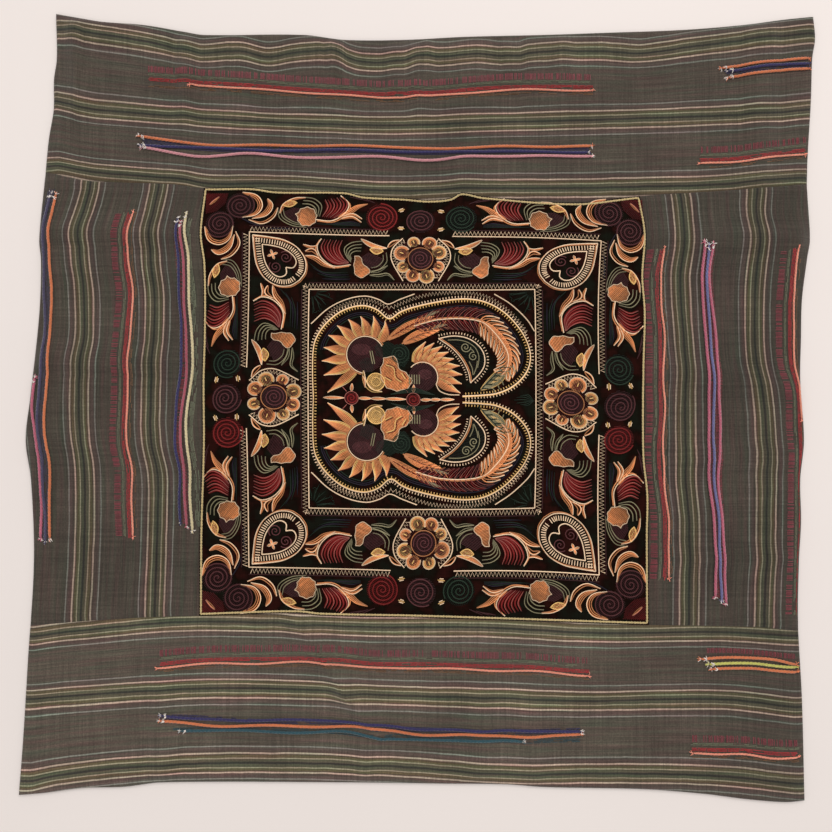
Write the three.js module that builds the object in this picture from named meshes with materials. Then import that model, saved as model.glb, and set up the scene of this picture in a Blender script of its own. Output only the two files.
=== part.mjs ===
// Embroidered cushion cover, laid empty and flat, face up. Sizes in millimetres.
// X runs to the right and Y away from the near edge of the face. Z is up and 0 is the underside.
// A plain back sheet lies under four striped border strips and one embroidered centre panel.
// Loose yarns run along the strips in rows, and a pale cord edges the panel.

import * as THREE from 'three';

const clothThickness = 1.2;
const panelThickness = 1.6;
const pieceGap = 0.3;
const restLift = 0.8;
const edgeFall = 9;
const panelSoftness = 0.35;

const cordWidth = 2;
const cordHeight = 1.2;
const cordInset = 1.3;

const yarnRadius = 1;
const yarnSides = 5;
const yarnStep = 20;
const yarnEdgeMargin = 1.6;

const sideColumns = 8;
const panelColumns = 22;
const panelRows = 22;
const stripRows = 5;
const finer = 2;
const settleRounds = 8;

const clothColour = '#4d463d';
const backColour = '#4a443c';
const panelColour = '#17110f';
const cordColour = '#cdb98f';
const yarnColours = {
  orange: '#cc6a3c',
  coral: '#e08a68',
  navy: '#2b2b55',
  pink: '#b8628a',
  red: '#a83a44',
  green: '#8fbf8a',
  lime: '#c2c47c',
  blue: '#58609c',
  teal: '#2a5458',
};

// The drawn-in outline. Along the far and near edges y follows x, and along the side edges x follows y.
const farEdge = [
  { at: -241, to: 252.7 }, { at: -223, to: 249.4 }, { at: -210, to: 247.3 }, { at: -184, to: 245.3 },
  { at: -157, to: 240.7 }, { at: -144, to: 238.6 }, { at: -79, to: 238.6 }, { at: -52, to: 235.3 },
  { at: -13, to: 235.3 }, { at: 26, to: 237.3 }, { at: 78, to: 238.6 }, { at: 118, to: 240 },
  { at: 170, to: 242 }, { at: 209, to: 245.3 }, { at: 236, to: 248.9 }, { at: 254, to: 250.7 },
];
const nearEdge = [
  { at: -255, to: -248.3 }, { at: -239, to: -247 }, { at: -214, to: -243.9 }, { at: -189, to: -243.2 },
  { at: -164, to: -240.4 }, { at: -51, to: -240.4 }, { at: 12, to: -241.2 }, { at: 50, to: -241.6 },
  { at: 75, to: -243.3 }, { at: 138, to: -244.7 }, { at: 176, to: -247.6 }, { at: 201, to: -250.7 },
  { at: 226, to: -252.6 }, { at: 238, to: -251.6 },
];
const leftEdge = [
  { at: -248, to: -254.5 }, { at: -215, to: -252.6 }, { at: -165, to: -250.5 }, { at: -102, to: -248 },
  { at: -51, to: -250.9 }, { at: -26, to: -254.8 }, { at: 0, to: -252.6 }, { at: 39, to: -248.9 },
  { at: 65, to: -247.3 }, { at: 91, to: -247.4 }, { at: 104, to: -248.7 }, { at: 143, to: -245.8 },
  { at: 170, to: -243.7 }, { at: 189, to: -241 }, { at: 209, to: -241.2 }, { at: 223, to: -239.6 },
  { at: 253, to: -240.7 },
];
const rightEdge = [
  { at: -252, to: 238 }, { at: -190, to: 237.7 }, { at: -140, to: 236.2 }, { at: -102, to: 237.6 },
  { at: -77, to: 239.4 }, { at: -51, to: 239.4 }, { at: -26, to: 242.3 }, { at: 13, to: 240.7 },
  { at: 39, to: 241.7 }, { at: 65, to: 242.9 }, { at: 91, to: 246.7 }, { at: 104, to: 248.8 },
  { at: 143, to: 247.7 }, { at: 196, to: 251.4 }, { at: 223, to: 252.8 }, { at: 236, to: 254.9 },
  { at: 251, to: 253.9 },
];

// The seams. The far and near strips run right across and the side strips butt between them.
const farSeam = [
  { at: -246, to: 148.4 }, { at: -217, to: 142.5 }, { at: -165, to: 140.5 }, { at: -146, to: 138.2 },
  { at: -112, to: 138.2 }, { at: -96, to: 136.1 }, { at: -52, to: 135.6 }, { at: -40, to: 132.8 },
  { at: -12, to: 131.2 }, { at: 2, to: 130 }, { at: 17, to: 131.2 }, { at: 24, to: 134.6 },
  { at: 38, to: 132.3 }, { at: 98, to: 128.3 }, { at: 140, to: 132.6 }, { at: 218, to: 137.5 },
  { at: 248, to: 140.5 },
];
const nearSeam = [
  { at: -250, to: -143.4 }, { at: -189, to: -138.9 }, { at: -143, to: -137.3 }, { at: -81, to: -135.5 },
  { at: -66, to: -137.1 }, { at: -6, to: -138.3 }, { at: 50, to: -140 }, { at: 142, to: -143 },
  { at: 212, to: -144.5 }, { at: 236, to: -146.8 },
];
const leftSeam = [
  { at: -137, to: -143.2 }, { at: -81, to: -143.4 }, { at: -31, to: -142.5 }, { at: 13, to: -143.2 },
  { at: 43, to: -142.7 }, { at: 87, to: -143.4 }, { at: 108, to: -146 }, { at: 138, to: -143.1 },
];
const rightSeam = [
  { at: -142, to: 142.3 }, { at: -86, to: 142.8 }, { at: -61, to: 143.4 }, { at: -36, to: 141.2 },
  { at: 19, to: 141.8 }, { at: 56, to: 143.2 }, { at: 80, to: 141.9 }, { at: 108, to: 143.6 },
  { at: 132, to: 139.9 },
];

// The way the weave runs along each strip: the middle line of one group of stripes.
const weaveLines = {
  far: [
    { at: -240, to: 194.5 }, { at: -225, to: 190.9 }, { at: -198, to: 188.9 }, { at: -159, to: 186.3 },
    { at: -88, to: 181.7 }, { at: -20, to: 179 }, { at: 45, to: 181.1 }, { at: 140, to: 183.7 },
    { at: 220, to: 186.5 }, { at: 253, to: 190 },
  ],
  near: [
    { at: -251, to: -189.3 }, { at: -218, to: -186.8 }, { at: -142, to: -182.5 }, { at: -66, to: -183.8 },
    { at: -28, to: -186.8 }, { at: 60, to: -188.7 }, { at: 98, to: -190.4 }, { at: 187, to: -189.4 },
    { at: 234, to: -194.3 },
  ],
  leftOuter: [
    { at: -137, to: -218.5 }, { at: -89, to: -216.8 }, { at: -38, to: -217.7 }, { at: -13, to: -222 },
    { at: 13, to: -222.4 }, { at: 39, to: -219.1 }, { at: 78, to: -220.4 }, { at: 107, to: -223.4 },
    { at: 137, to: -216.9 },
  ],
  leftInner: [
    { at: -137, to: -171.4 }, { at: -51, to: -170.1 }, { at: -26, to: -174.3 }, { at: -13, to: -175.7 },
    { at: 65, to: -174 }, { at: 107, to: -177.4 }, { at: 137, to: -172.6 },
  ],
  rightInner: [
    { at: -137, to: 167.7 }, { at: -77, to: 168.5 }, { at: -51, to: 166.5 }, { at: 26, to: 167.3 },
    { at: 78, to: 165 }, { at: 97, to: 167 }, { at: 137, to: 163.4 },
  ],
  rightOuter: [
    { at: -137, to: 215.6 }, { at: -89, to: 217.4 }, { at: -13, to: 218.4 }, { at: 26, to: 213 },
    { at: 65, to: 213 }, { at: 107, to: 216.2 }, { at: 137, to: 214.2 },
  ],
};

// Loose yarns. Each one runs along a weave line between two stations, and off holds its distance
// to the side of that line, evenly spaced from the first station to the last.
const yarns = [
  { name: 'far_long_coral', line: 'far', from: -152, to: 109, off: [20.2, 19.8, 18.6, 18.9, 20.4, 17.8] },
  { name: 'far_pair_orange', line: 'far', from: -185, to: 108,
    off: [-15.6, -17.4, -16.1, -14, -15.5, -16, -16.9] },
  { name: 'far_pair_navy', line: 'far', from: -184, to: 106,
    off: [-19.9, -21.4, -18.8, -17.2, -19.5, -20.4, -21.6] },
  { name: 'far_pair_pink', line: 'far', from: -183, to: 108,
    off: [-22.4, -26, -23, -22.6, -22.3, -22.9, -24.1] },
  { name: 'far_short_orange', line: 'far', from: 194, to: 251, off: [33.4, 34.3, 34.4] },
  { name: 'far_short_navy', line: 'far', from: 198, to: 251, off: [30.6, 31.4, 31.2] },
  { name: 'far_short_amber', line: 'far', from: 198, to: 251, off: [26, 28, 27.2] },
  { name: 'far_inner_orange', line: 'far', from: 179, to: 247, off: [-31.6, -30.2, -29, -29.6] },
  { name: 'left_rim_orange', line: 'leftOuter', from: 133, to: -88,
    off: [-22.3, -21.2, -22.1, -22.4, -23.2, -21.4] },
  { name: 'left_rim_navy', line: 'leftOuter', from: 134, to: -90,
    off: [-26.6, -24.4, -25.6, -26, -27, -25.4] },
  { name: 'left_rim_pink', line: 'leftOuter', from: 14, to: -88, off: [-29.6, -29.2, -30.2, -28.4] },
  { name: 'left_middle_orange', line: 'leftInner', from: 121, to: -87,
    off: [-14.2, -15, -16.3, -15.6, -17.2, -15.2] },
  { name: 'left_inner_navy', line: 'leftInner', from: 117, to: -78, off: [16.8, 15.8, 18.2, 15.8, 15.8] },
  { name: 'left_inner_red', line: 'leftInner', from: 114, to: -80, off: [19.4, 18.5, 21.2, 18.4, 18.6] },
  { name: 'left_inner_green', line: 'leftInner', from: 120, to: -83, off: [22, 21.3, 24.4, 21, 21.6] },
  { name: 'right_inner_orange', line: 'rightInner', from: 97, to: -113,
    off: [-12.5, -12, -13.5, -14.6, -12.8, -14] },
  { name: 'right_middle_pink', line: 'rightInner', from: 104, to: -125,
    off: [13.8, 15.6, 16, 16.2, 17, 17] },
  { name: 'right_middle_blue', line: 'rightInner', from: 102, to: -127,
    off: [16.6, 18.8, 20, 20.2, 20.5, 20.4] },
  { name: 'right_middle_rose', line: 'rightInner', from: 103, to: -129,
    off: [20, 21.6, 22.9, 24.4, 24.2, 24.6] },
  { name: 'right_rim_coral', line: 'rightOuter', from: 100, to: -12, off: [27.3, 25.2, 24.7, 22.8] },
  { name: 'near_long_coral', line: 'near', from: -168, to: 103, off: [14, 16, 16.8, 18.2, 18.2, 14.6] },
  { name: 'near_pair_navy', line: 'near', from: -165, to: 98,
    off: [-15.4, -19.6, -18.9, -21, -20.8, -17.6] },
  { name: 'near_pair_orange', line: 'near', from: -166, to: 98,
    off: [-19.5, -22.8, -21.5, -23.5, -24.1, -20.8] },
  { name: 'near_pair_teal', line: 'near', from: -153, to: 61, off: [-25.4, -26.6, -26.3, -27, -27.2] },
  { name: 'near_short_orange', line: 'near', from: 175, to: 235, off: [25, 26.8, 28.2] },
  { name: 'near_short_lime', line: 'near', from: 180, to: 235, off: [21.2, 23.6, 24.8] },
  { name: 'near_short_amber', line: 'near', from: 182, to: 235, off: [17.9, 20.6, 21.6] },
  { name: 'near_outer_orange', line: 'near', from: 169, to: 235, off: [-34.4, -33.5, -33, -31.6] },
];
const yarnTints = { amber: 'orange', rose: 'pink' };

// Ridges in the cloth. Each runs from one point to another, and width is how far its side reaches.
const folds = [
  { x1: -227, y1: 251, x2: -223, y2: 188, width: 6, height: 3 },
  { x1: -154, y1: 240, x2: -155, y2: 184, width: 6, height: 2.5 },
  { x1: -59, y1: 237, x2: -56, y2: 216, width: 6, height: 3 },
  { x1: -19, y1: 225, x2: -19, y2: 201, width: 6, height: 2.4 },
  { x1: -9, y1: 236, x2: -5, y2: 191, width: 6, height: 2.6 },
  { x1: 54, y1: 237, x2: 57, y2: 216, width: 7, height: 2 },
  { x1: 90, y1: 237, x2: 89, y2: 219, width: 7, height: 2 },
  { x1: 25, y1: 150, x2: 25, y2: 128, width: 9, height: 2.5 },
  { x1: 218, y1: 243, x2: 216, y2: 143, width: 12, height: 2.5 },
  { x1: -246, y1: 110, x2: -152, y2: 106, width: 9, height: 3 },
  { x1: -245, y1: 85, x2: -152, y2: 84, width: 9, height: 2.2 },
  { x1: -251, y1: 28, x2: -160, y2: 24, width: 10, height: 3.4 },
  { x1: -253, y1: -26, x2: -157, y2: -32, width: 10, height: 2.6 },
  { x1: 150, y1: 103, x2: 246, y2: 102, width: 10, height: 3 },
  { x1: 150, y1: 20, x2: 241, y2: 5, width: 10, height: 3 },
  { x1: 165, y1: -36, x2: 240, y2: -36, width: 7, height: 2.4 },
  { x1: 150, y1: -101, x2: 238, y2: -101, width: 7, height: 2 },
  { x1: -81, y1: -140, x2: -50, y2: -184, width: 7, height: 3.4 },
  { x1: -50, y1: -184, x2: -28, y2: -209, width: 7, height: 3.4 },
  { x1: -39, y1: -216, x2: -37, y2: -246, width: 8, height: 2.4 },
  { x1: -164, y1: -152, x2: -163, y2: -240, width: 11, height: 2 },
  { x1: 35, y1: -190, x2: 35, y2: -240, width: 10, height: 2 },
  { x1: 66, y1: -190, x2: 66, y2: -243, width: 10, height: 2 },
];

// Broad soft waves over the whole face: crests a full length apart along X and Y.
const ripples = [
  { lengthX: 195, lengthY: 1400, height: 0.4, start: 1 },
  { lengthX: 360, lengthY: 180, height: 0.3, start: 0 },
];

const mix = THREE.MathUtils.lerp;
const smoothstep = THREE.MathUtils.smoothstep;

// A smooth curve through the rows of one of the tables above.
function curveThrough(rows) {
  const slopes = rows.map((row, i) => {
    const before = rows[Math.max(i - 1, 0)];
    const after = rows[Math.min(i + 1, rows.length - 1)];
    return (after.to - before.to) / (after.at - before.at);
  });
  return (at) => {
    let i = 0;
    while (i < rows.length - 2 && rows[i + 1].at < at) {
      i += 1;
    }
    const span = rows[i + 1].at - rows[i].at;
    const t = THREE.MathUtils.clamp((at - rows[i].at) / span, 0, 1);
    const rise = t * t * (3 - 2 * t);
    const lead = t * (1 - t) * (1 - t) * span * slopes[i];
    const tail = t * t * (t - 1) * span * slopes[i + 1];
    return mix(rows[i].to, rows[i + 1].to, rise) + lead + tail;
  };
}

const outline = {
  far: curveThrough(farEdge),
  near: curveThrough(nearEdge),
  left: curveThrough(leftEdge),
  right: curveThrough(rightEdge),
};
const seam = {
  far: curveThrough(farSeam),
  near: curveThrough(nearSeam),
  left: curveThrough(leftSeam),
  right: curveThrough(rightSeam),
};
const weave = Object.fromEntries(Object.entries(weaveLines).map(([name, rows]) => [name, curveThrough(rows)]));

// Where a curve that gives y from x meets a curve that gives x from y.
function meeting(yFromX, xFromY) {
  let y = yFromX(0);
  for (let round = 0; round < settleRounds; round += 1) {
    y = yFromX(xFromY(y));
  }
  return new THREE.Vector2(xFromY(y), y);
}

const corner = {
  farLeft: meeting(outline.far, outline.left),
  farRight: meeting(outline.far, outline.right),
  nearLeft: meeting(outline.near, outline.left),
  nearRight: meeting(outline.near, outline.right),
};
const seamEnd = {
  farLeft: meeting(seam.far, outline.left),
  farRight: meeting(seam.far, outline.right),
  nearLeft: meeting(seam.near, outline.left),
  nearRight: meeting(seam.near, outline.right),
};
const panelCorner = {
  farLeft: meeting(seam.far, seam.left),
  farRight: meeting(seam.far, seam.right),
  nearLeft: meeting(seam.near, seam.left),
  nearRight: meeting(seam.near, seam.right),
};

// A polyline on a curve. It passes the given stops and has a count of even steps between each two.
function railAcross(curve, stops, counts) {
  const points = [new THREE.Vector2(stops[0], curve(stops[0]))];
  counts.forEach((count, n) => {
    for (let k = 1; k <= count; k += 1) {
      const x = mix(stops[n], stops[n + 1], k / count);
      points.push(new THREE.Vector2(x, curve(x)));
    }
  });
  return points;
}

function railUp(curve, from, to, count) {
  const points = [];
  for (let k = 0; k <= count; k += 1) {
    const y = mix(from, to, k / count);
    points.push(new THREE.Vector2(curve(y), y));
  }
  return points;
}

function pointOnRail(points, share) {
  const steps = points.length - 1;
  const k = Math.min(Math.floor(share * steps), steps - 1);
  return points[k].clone().lerp(points[k + 1], share * steps - k);
}

// The point that lies a share u across and a share v up between the four rails of a cell.
function pointBetween(cell, inset, u, v) {
  const width = cell.near[0].distanceTo(cell.near.at(-1));
  const depth = cell.left[0].distanceTo(cell.left.at(-1));
  const us = mix(inset.left / width, 1 - inset.right / width, u);
  const vs = mix(inset.near / depth, 1 - inset.far / depth, v);
  const point = new THREE.Vector2();
  point.addScaledVector(pointOnRail(cell.near, us), 1 - vs);
  point.addScaledVector(pointOnRail(cell.far, us), vs);
  point.addScaledVector(pointOnRail(cell.left, vs), 1 - us);
  point.addScaledVector(pointOnRail(cell.right, vs), us);
  point.addScaledVector(cell.near[0], -(1 - us) * (1 - vs));
  point.addScaledVector(cell.near.at(-1), -us * (1 - vs));
  point.addScaledVector(cell.far[0], -(1 - us) * vs);
  point.addScaledVector(cell.far.at(-1), -us * vs);
  return point;
}

function foldHeight(fold, x, y) {
  const dx = fold.x2 - fold.x1;
  const dy = fold.y2 - fold.y1;
  const share = THREE.MathUtils.clamp(((x - fold.x1) * dx + (y - fold.y1) * dy) / (dx * dx + dy * dy), 0, 1);
  const away = Math.hypot(x - fold.x1 - share * dx, y - fold.y1 - share * dy);
  return fold.height * Math.exp(-((away / fold.width) ** 2));
}

// Height of the cloth's underside above its lowest level, falling to nothing at the sewn outer edge.
function relief(x, y) {
  const toEdge = Math.min(
    outline.far(x) - y,
    y - outline.near(x),
    x - outline.left(y),
    outline.right(y) - x,
  );
  const waves = ripples.reduce((sum, { lengthX, lengthY, height, start }) => {
    const turns = x / lengthX + y / lengthY;
    return sum + height * Math.sin(2 * Math.PI * turns + start);
  }, 0);
  const ridges = folds.reduce((sum, fold) => sum + foldHeight(fold, x, y), 0);
  return smoothstep(toEdge, 0, edgeFall) * (restLift + waves + ridges);
}

const frontLevel = clothThickness + pieceGap;

// A closed sheet over one cell, with its folds in both faces and its height at any point.
function clothSheet(cell) {
  const { columns, rows, thickness, softness } = cell;
  const positions = [];
  const indices = [];
  const stride = columns + 1;
  const layer = stride * (rows + 1);
  for (const lift of [0, thickness]) {
    for (let j = 0; j <= rows; j += 1) {
      for (let i = 0; i <= columns; i += 1) {
        const { x, y } = pointBetween(cell, cell.inset, i / columns, j / rows);
        positions.push(x, y, frontLevel + softness * relief(x, y) + lift);
      }
    }
  }
  for (let j = 0; j < rows; j += 1) {
    for (let i = 0; i < columns; i += 1) {
      const a = j * stride + i;
      const b = a + 1;
      const c = a + stride;
      const d = c + 1;
      indices.push(a, d, b, a, c, d);
      indices.push(layer + a, layer + b, layer + d, layer + a, layer + d, layer + c);
    }
  }
  const rim = [];
  for (let i = 0; i < columns; i += 1) rim.push(i);
  for (let j = 0; j < rows; j += 1) rim.push(j * stride + columns);
  for (let i = columns; i > 0; i -= 1) rim.push(rows * stride + i);
  for (let j = rows; j > 0; j -= 1) rim.push(j * stride);
  rim.forEach((start, k) => {
    const end = rim[(k + 1) % rim.length];
    indices.push(start, end, layer + end, start, layer + end, layer + start);
  });
  const geometry = new THREE.BufferGeometry();
  geometry.setAttribute('position', new THREE.Float32BufferAttribute(positions, 3));
  geometry.setIndex(indices);
  geometry.computeVertexNormals();
  return geometry;
}

// Height of a sheet's upper face at a point, read from its flat facets.
function topReader(geometry) {
  const place = geometry.getAttribute('position');
  const index = geometry.getIndex();
  const facets = [];
  for (let k = 0; k < index.count; k += 3) {
    const [a, b, c] = [0, 1, 2].map((n) => new THREE.Vector3().fromBufferAttribute(place, index.getX(k + n)));
    const twiceArea = (b.x - a.x) * (c.y - a.y) - (b.y - a.y) * (c.x - a.x);
    if (twiceArea > 0.01) facets.push({ a, b, c, twiceArea });
  }
  return (x, y) => {
    let top = -Infinity;
    for (const { a, b, c, twiceArea } of facets) {
      const wb = ((x - a.x) * (c.y - a.y) - (y - a.y) * (c.x - a.x)) / twiceArea;
      const wc = ((b.x - a.x) * (y - a.y) - (b.y - a.y) * (x - a.x)) / twiceArea;
      const wa = 1 - wb - wc;
      if (Math.min(wa, wb, wc) >= -1e-6) top = Math.max(top, wa * a.z + wb * b.z + wc * c.z);
    }
    return top;
  };
}

// The highest cloth under a small patch, so that what lies on it clears every facet there.
function highestUnder(read, x, y, reach) {
  const shifts = [-1, -0.5, 0, 0.5, 1].map((share) => share * reach);
  return Math.max(...shifts.flatMap((dx) => shifts.map((dy) => read(x + dx, y + dy))));
}

function namedMesh(name, geometry, colour, roughness) {
  const material = new THREE.MeshStandardMaterial({ color: colour, roughness, metalness: 0 });
  const mesh = new THREE.Mesh(geometry, material);
  mesh.name = name;
  return mesh;
}

// The back sheet has the same outline as the face and lies flat.
function backSheet() {
  const rim = [
    ...nearRim,
    ...rightRim.slice(1),
    ...farRim.toReversed().slice(1),
    ...leftRim.toReversed().slice(1, -1),
  ];
  return new THREE.ExtrudeGeometry(new THREE.Shape(rim), { depth: clothThickness, bevelEnabled: false });
}

const stripCounts = [sideColumns, panelColumns, sideColumns];
const farStops = [seamEnd.farLeft.x, panelCorner.farLeft.x, panelCorner.farRight.x, seamEnd.farRight.x];
const nearStops = [seamEnd.nearLeft.x, panelCorner.nearLeft.x, panelCorner.nearRight.x, seamEnd.nearRight.x];
const farRail = railAcross(seam.far, farStops, stripCounts);
const nearRail = railAcross(seam.near, nearStops, stripCounts);
const farStopsOuter = [corner.farLeft.x, farStops[1], farStops[2], corner.farRight.x];
const nearStopsOuter = [corner.nearLeft.x, nearStops[1], nearStops[2], corner.nearRight.x];
const farRim = railAcross(outline.far, farStopsOuter, stripCounts);
const nearRim = railAcross(outline.near, nearStopsOuter, stripCounts);
const leftRim = railUp(outline.left, corner.nearLeft.y, corner.farLeft.y, panelRows * finer);
const rightRim = railUp(outline.right, corner.nearRight.y, corner.farRight.y, panelRows * finer);
const panelEnd = sideColumns + panelColumns;

const sewn = pieceGap / 2;
const cells = {
  border_top: {
    near: farRail,
    far: farRim,
    left: railUp(outline.left, seamEnd.farLeft.y, corner.farLeft.y, stripRows),
    right: railUp(outline.right, seamEnd.farRight.y, corner.farRight.y, stripRows),
    inset: { far: 0, near: sewn, left: 0, right: 0 },
    columns: (farRail.length - 1) * finer, rows: stripRows, thickness: clothThickness, softness: 1,
  },
  border_bottom: {
    near: nearRim,
    far: nearRail,
    left: railUp(outline.left, corner.nearLeft.y, seamEnd.nearLeft.y, stripRows),
    right: railUp(outline.right, corner.nearRight.y, seamEnd.nearRight.y, stripRows),
    inset: { far: sewn, near: 0, left: 0, right: 0 },
    columns: (nearRail.length - 1) * finer, rows: stripRows, thickness: clothThickness, softness: 1,
  },
  border_left: {
    near: nearRail.slice(0, sideColumns + 1),
    far: farRail.slice(0, sideColumns + 1),
    left: railUp(outline.left, seamEnd.nearLeft.y, seamEnd.farLeft.y, panelRows * finer),
    right: railUp(seam.left, panelCorner.nearLeft.y, panelCorner.farLeft.y, panelRows),
    inset: { far: sewn, near: sewn, left: 0, right: sewn },
    columns: sideColumns, rows: panelRows * finer, thickness: clothThickness, softness: 1,
  },
  border_right: {
    near: nearRail.slice(panelEnd),
    far: farRail.slice(panelEnd),
    left: railUp(seam.right, panelCorner.nearRight.y, panelCorner.farRight.y, panelRows),
    right: railUp(outline.right, seamEnd.nearRight.y, seamEnd.farRight.y, panelRows * finer),
    inset: { far: sewn, near: sewn, left: sewn, right: 0 },
    columns: sideColumns, rows: panelRows * finer, thickness: clothThickness, softness: 1,
  },
  centre_panel: {
    near: nearRail.slice(sideColumns, panelEnd + 1),
    far: farRail.slice(sideColumns, panelEnd + 1),
    left: railUp(seam.left, panelCorner.nearLeft.y, panelCorner.farLeft.y, panelRows),
    right: railUp(seam.right, panelCorner.nearRight.y, panelCorner.farRight.y, panelRows),
    inset: { far: sewn, near: sewn, left: sewn, right: sewn },
    columns: panelColumns, rows: panelRows, thickness: panelThickness, softness: panelSoftness,
  },
};
const sheetOfLine = {
  far: 'border_top',
  near: 'border_bottom',
  leftOuter: 'border_left',
  leftInner: 'border_left',
  rightInner: 'border_right',
  rightOuter: 'border_right',
};

// The pale cord that runs right round the panel, just inside its edge, as one closed ring.
function edgingCord(read) {
  const inset = { far: cordInset, near: cordInset, left: cordInset, right: cordInset };
  const along = (u, v) => pointBetween(cells.centre_panel, inset, u, v);
  const loop = [];
  for (let k = 0; k < panelColumns; k += 1) loop.push(along(k / panelColumns, 0));
  for (let k = 0; k < panelRows; k += 1) loop.push(along(1, k / panelRows));
  for (let k = 0; k < panelColumns; k += 1) loop.push(along(1 - k / panelColumns, 1));
  for (let k = 0; k < panelRows; k += 1) loop.push(along(0, 1 - k / panelRows));
  const section = [
    { out: -cordWidth / 2, up: 0 }, { out: cordWidth / 2, up: 0 },
    { out: cordWidth / 2, up: cordHeight }, { out: -cordWidth / 2, up: cordHeight },
  ];
  const count = loop.length;
  const levels = loop.map((point, k) => {
    const next = loop[(k + 1) % count];
    const before = loop[(k + count - 1) % count];
    return Math.max(...[0, 0.25, 0.5].flatMap((t) => [
      highestUnder(read, mix(point.x, next.x, t), mix(point.y, next.y, t), cordWidth / 2),
      highestUnder(read, mix(point.x, before.x, t), mix(point.y, before.y, t), cordWidth / 2),
    ]));
  });
  const positions = [];
  loop.forEach((point, k) => {
    const next = loop[(k + 1) % count];
    const before = loop[(k + count - 1) % count];
    const ahead = next.clone().sub(point).normalize();
    const behind = point.clone().sub(before).normalize();
    const heading = ahead.clone().add(behind).normalize();
    const spread = 1 / Math.max(heading.dot(ahead), 0.5);
    const level = Math.max(levels[k], levels[(k + 1) % count], levels[(k + count - 1) % count]) + pieceGap;
    for (const { out, up } of section) {
      positions.push(point.x + heading.y * out * spread, point.y - heading.x * out * spread, level + up);
    }
  });
  const indices = [];
  for (let k = 0; k < count; k += 1) {
    for (let n = 0; n < section.length; n += 1) {
      const a = k * section.length + n;
      const b = k * section.length + ((n + 1) % section.length);
      const c = ((k + 1) % count) * section.length + n;
      const d = ((k + 1) % count) * section.length + ((n + 1) % section.length);
      indices.push(a, d, b, a, c, d);
    }
  }
  const geometry = new THREE.BufferGeometry();
  geometry.setAttribute('position', new THREE.Float32BufferAttribute(positions, 3));
  geometry.setIndex(indices);
  geometry.computeVertexNormals();
  return geometry;
}

// One loose yarn, laid along its strip and kept a little inside the outer edge.
function yarnGeometry(yarn, read) {
  const sideways = yarn.line.startsWith('left') || yarn.line.startsWith('right');
  const offset = curveThrough(yarn.off.map((to, k) => ({ at: k / (yarn.off.length - 1), to })));
  const steps = Math.max(4, Math.round(Math.abs(yarn.to - yarn.from) / yarnStep));
  const placeAt = (share) => {
    const along = mix(yarn.from, yarn.to, share);
    const across = weave[yarn.line](along) + offset(share);
    if (!sideways) return { x: along, y: across };
    const leftmost = outline.left(along) + yarnEdgeMargin;
    const rightmost = outline.right(along) - yarnEdgeMargin;
    return { x: THREE.MathUtils.clamp(across, leftmost, rightmost), y: along };
  };
  const points = [];
  for (let k = 0; k <= steps; k += 1) {
    const { x, y } = placeAt(k / steps);
    let level = -Infinity;
    for (const shift of [-1, -0.75, -0.5, -0.25, 0, 0.25, 0.5, 0.75, 1]) {
      const near = placeAt(THREE.MathUtils.clamp((k + shift) / steps, 0, 1));
      level = Math.max(level, highestUnder(read, near.x, near.y, yarnRadius));
    }
    points.push(new THREE.Vector3(x, y, level + pieceGap + yarnRadius));
  }
  const section = new THREE.Shape();
  for (let n = 0; n < yarnSides; n += 1) {
    const angle = (n / yarnSides) * 2 * Math.PI;
    const move = n === 0 ? 'moveTo' : 'lineTo';
    section[move](yarnRadius * Math.cos(angle), yarnRadius * Math.sin(angle));
  }
  const path = new THREE.CatmullRomCurve3(points, false, 'centripetal');
  return new THREE.ExtrudeGeometry(section, { steps, bevelEnabled: false, extrudePath: path });
}

const cover = new THREE.Group();
cover.add(namedMesh('back_panel', backSheet(), backColour, 0.95));

const readers = {};
for (const [name, cell] of Object.entries(cells)) {
  const geometry = clothSheet(cell);
  readers[name] = topReader(geometry);
  cover.add(namedMesh(name, geometry, name === 'centre_panel' ? panelColour : clothColour, 0.92));
}

cover.add(namedMesh('panel_edging', edgingCord(readers.centre_panel), cordColour, 0.8));

for (const yarn of yarns) {
  const tint = yarn.name.split('_').pop();
  const colour = yarnColours[yarnTints[tint] ?? tint];
  const geometry = yarnGeometry(yarn, readers[sheetOfLine[yarn.line]]);
  cover.add(namedMesh(`yarn_${yarn.name}`, geometry, colour, 0.85));
}

export default cover;
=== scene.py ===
import math

import bpy
import numpy as np
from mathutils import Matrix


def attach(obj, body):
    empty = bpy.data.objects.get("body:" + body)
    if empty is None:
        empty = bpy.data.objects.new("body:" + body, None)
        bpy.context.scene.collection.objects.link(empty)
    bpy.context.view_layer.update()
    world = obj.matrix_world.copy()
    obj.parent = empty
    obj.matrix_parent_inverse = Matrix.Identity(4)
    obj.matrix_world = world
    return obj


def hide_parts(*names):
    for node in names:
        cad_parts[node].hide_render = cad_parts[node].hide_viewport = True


# Embroidered cushion cover, laid empty and flat, face up. The tables are in millimetres, as in the CAD.
# X runs to the right, Y away from the near edge of the face and Z up from the underside.

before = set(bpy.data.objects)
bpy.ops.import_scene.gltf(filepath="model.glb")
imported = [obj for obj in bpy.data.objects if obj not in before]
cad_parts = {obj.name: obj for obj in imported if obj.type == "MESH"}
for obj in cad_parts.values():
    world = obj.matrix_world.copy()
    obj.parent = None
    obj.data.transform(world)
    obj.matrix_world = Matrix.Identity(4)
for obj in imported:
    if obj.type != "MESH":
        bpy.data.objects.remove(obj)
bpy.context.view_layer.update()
mm = 0.001
draws = np.random.default_rng(1871)

scene = bpy.context.scene
scene.view_settings.view_transform = "Standard"

# Camera, light and floor

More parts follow.
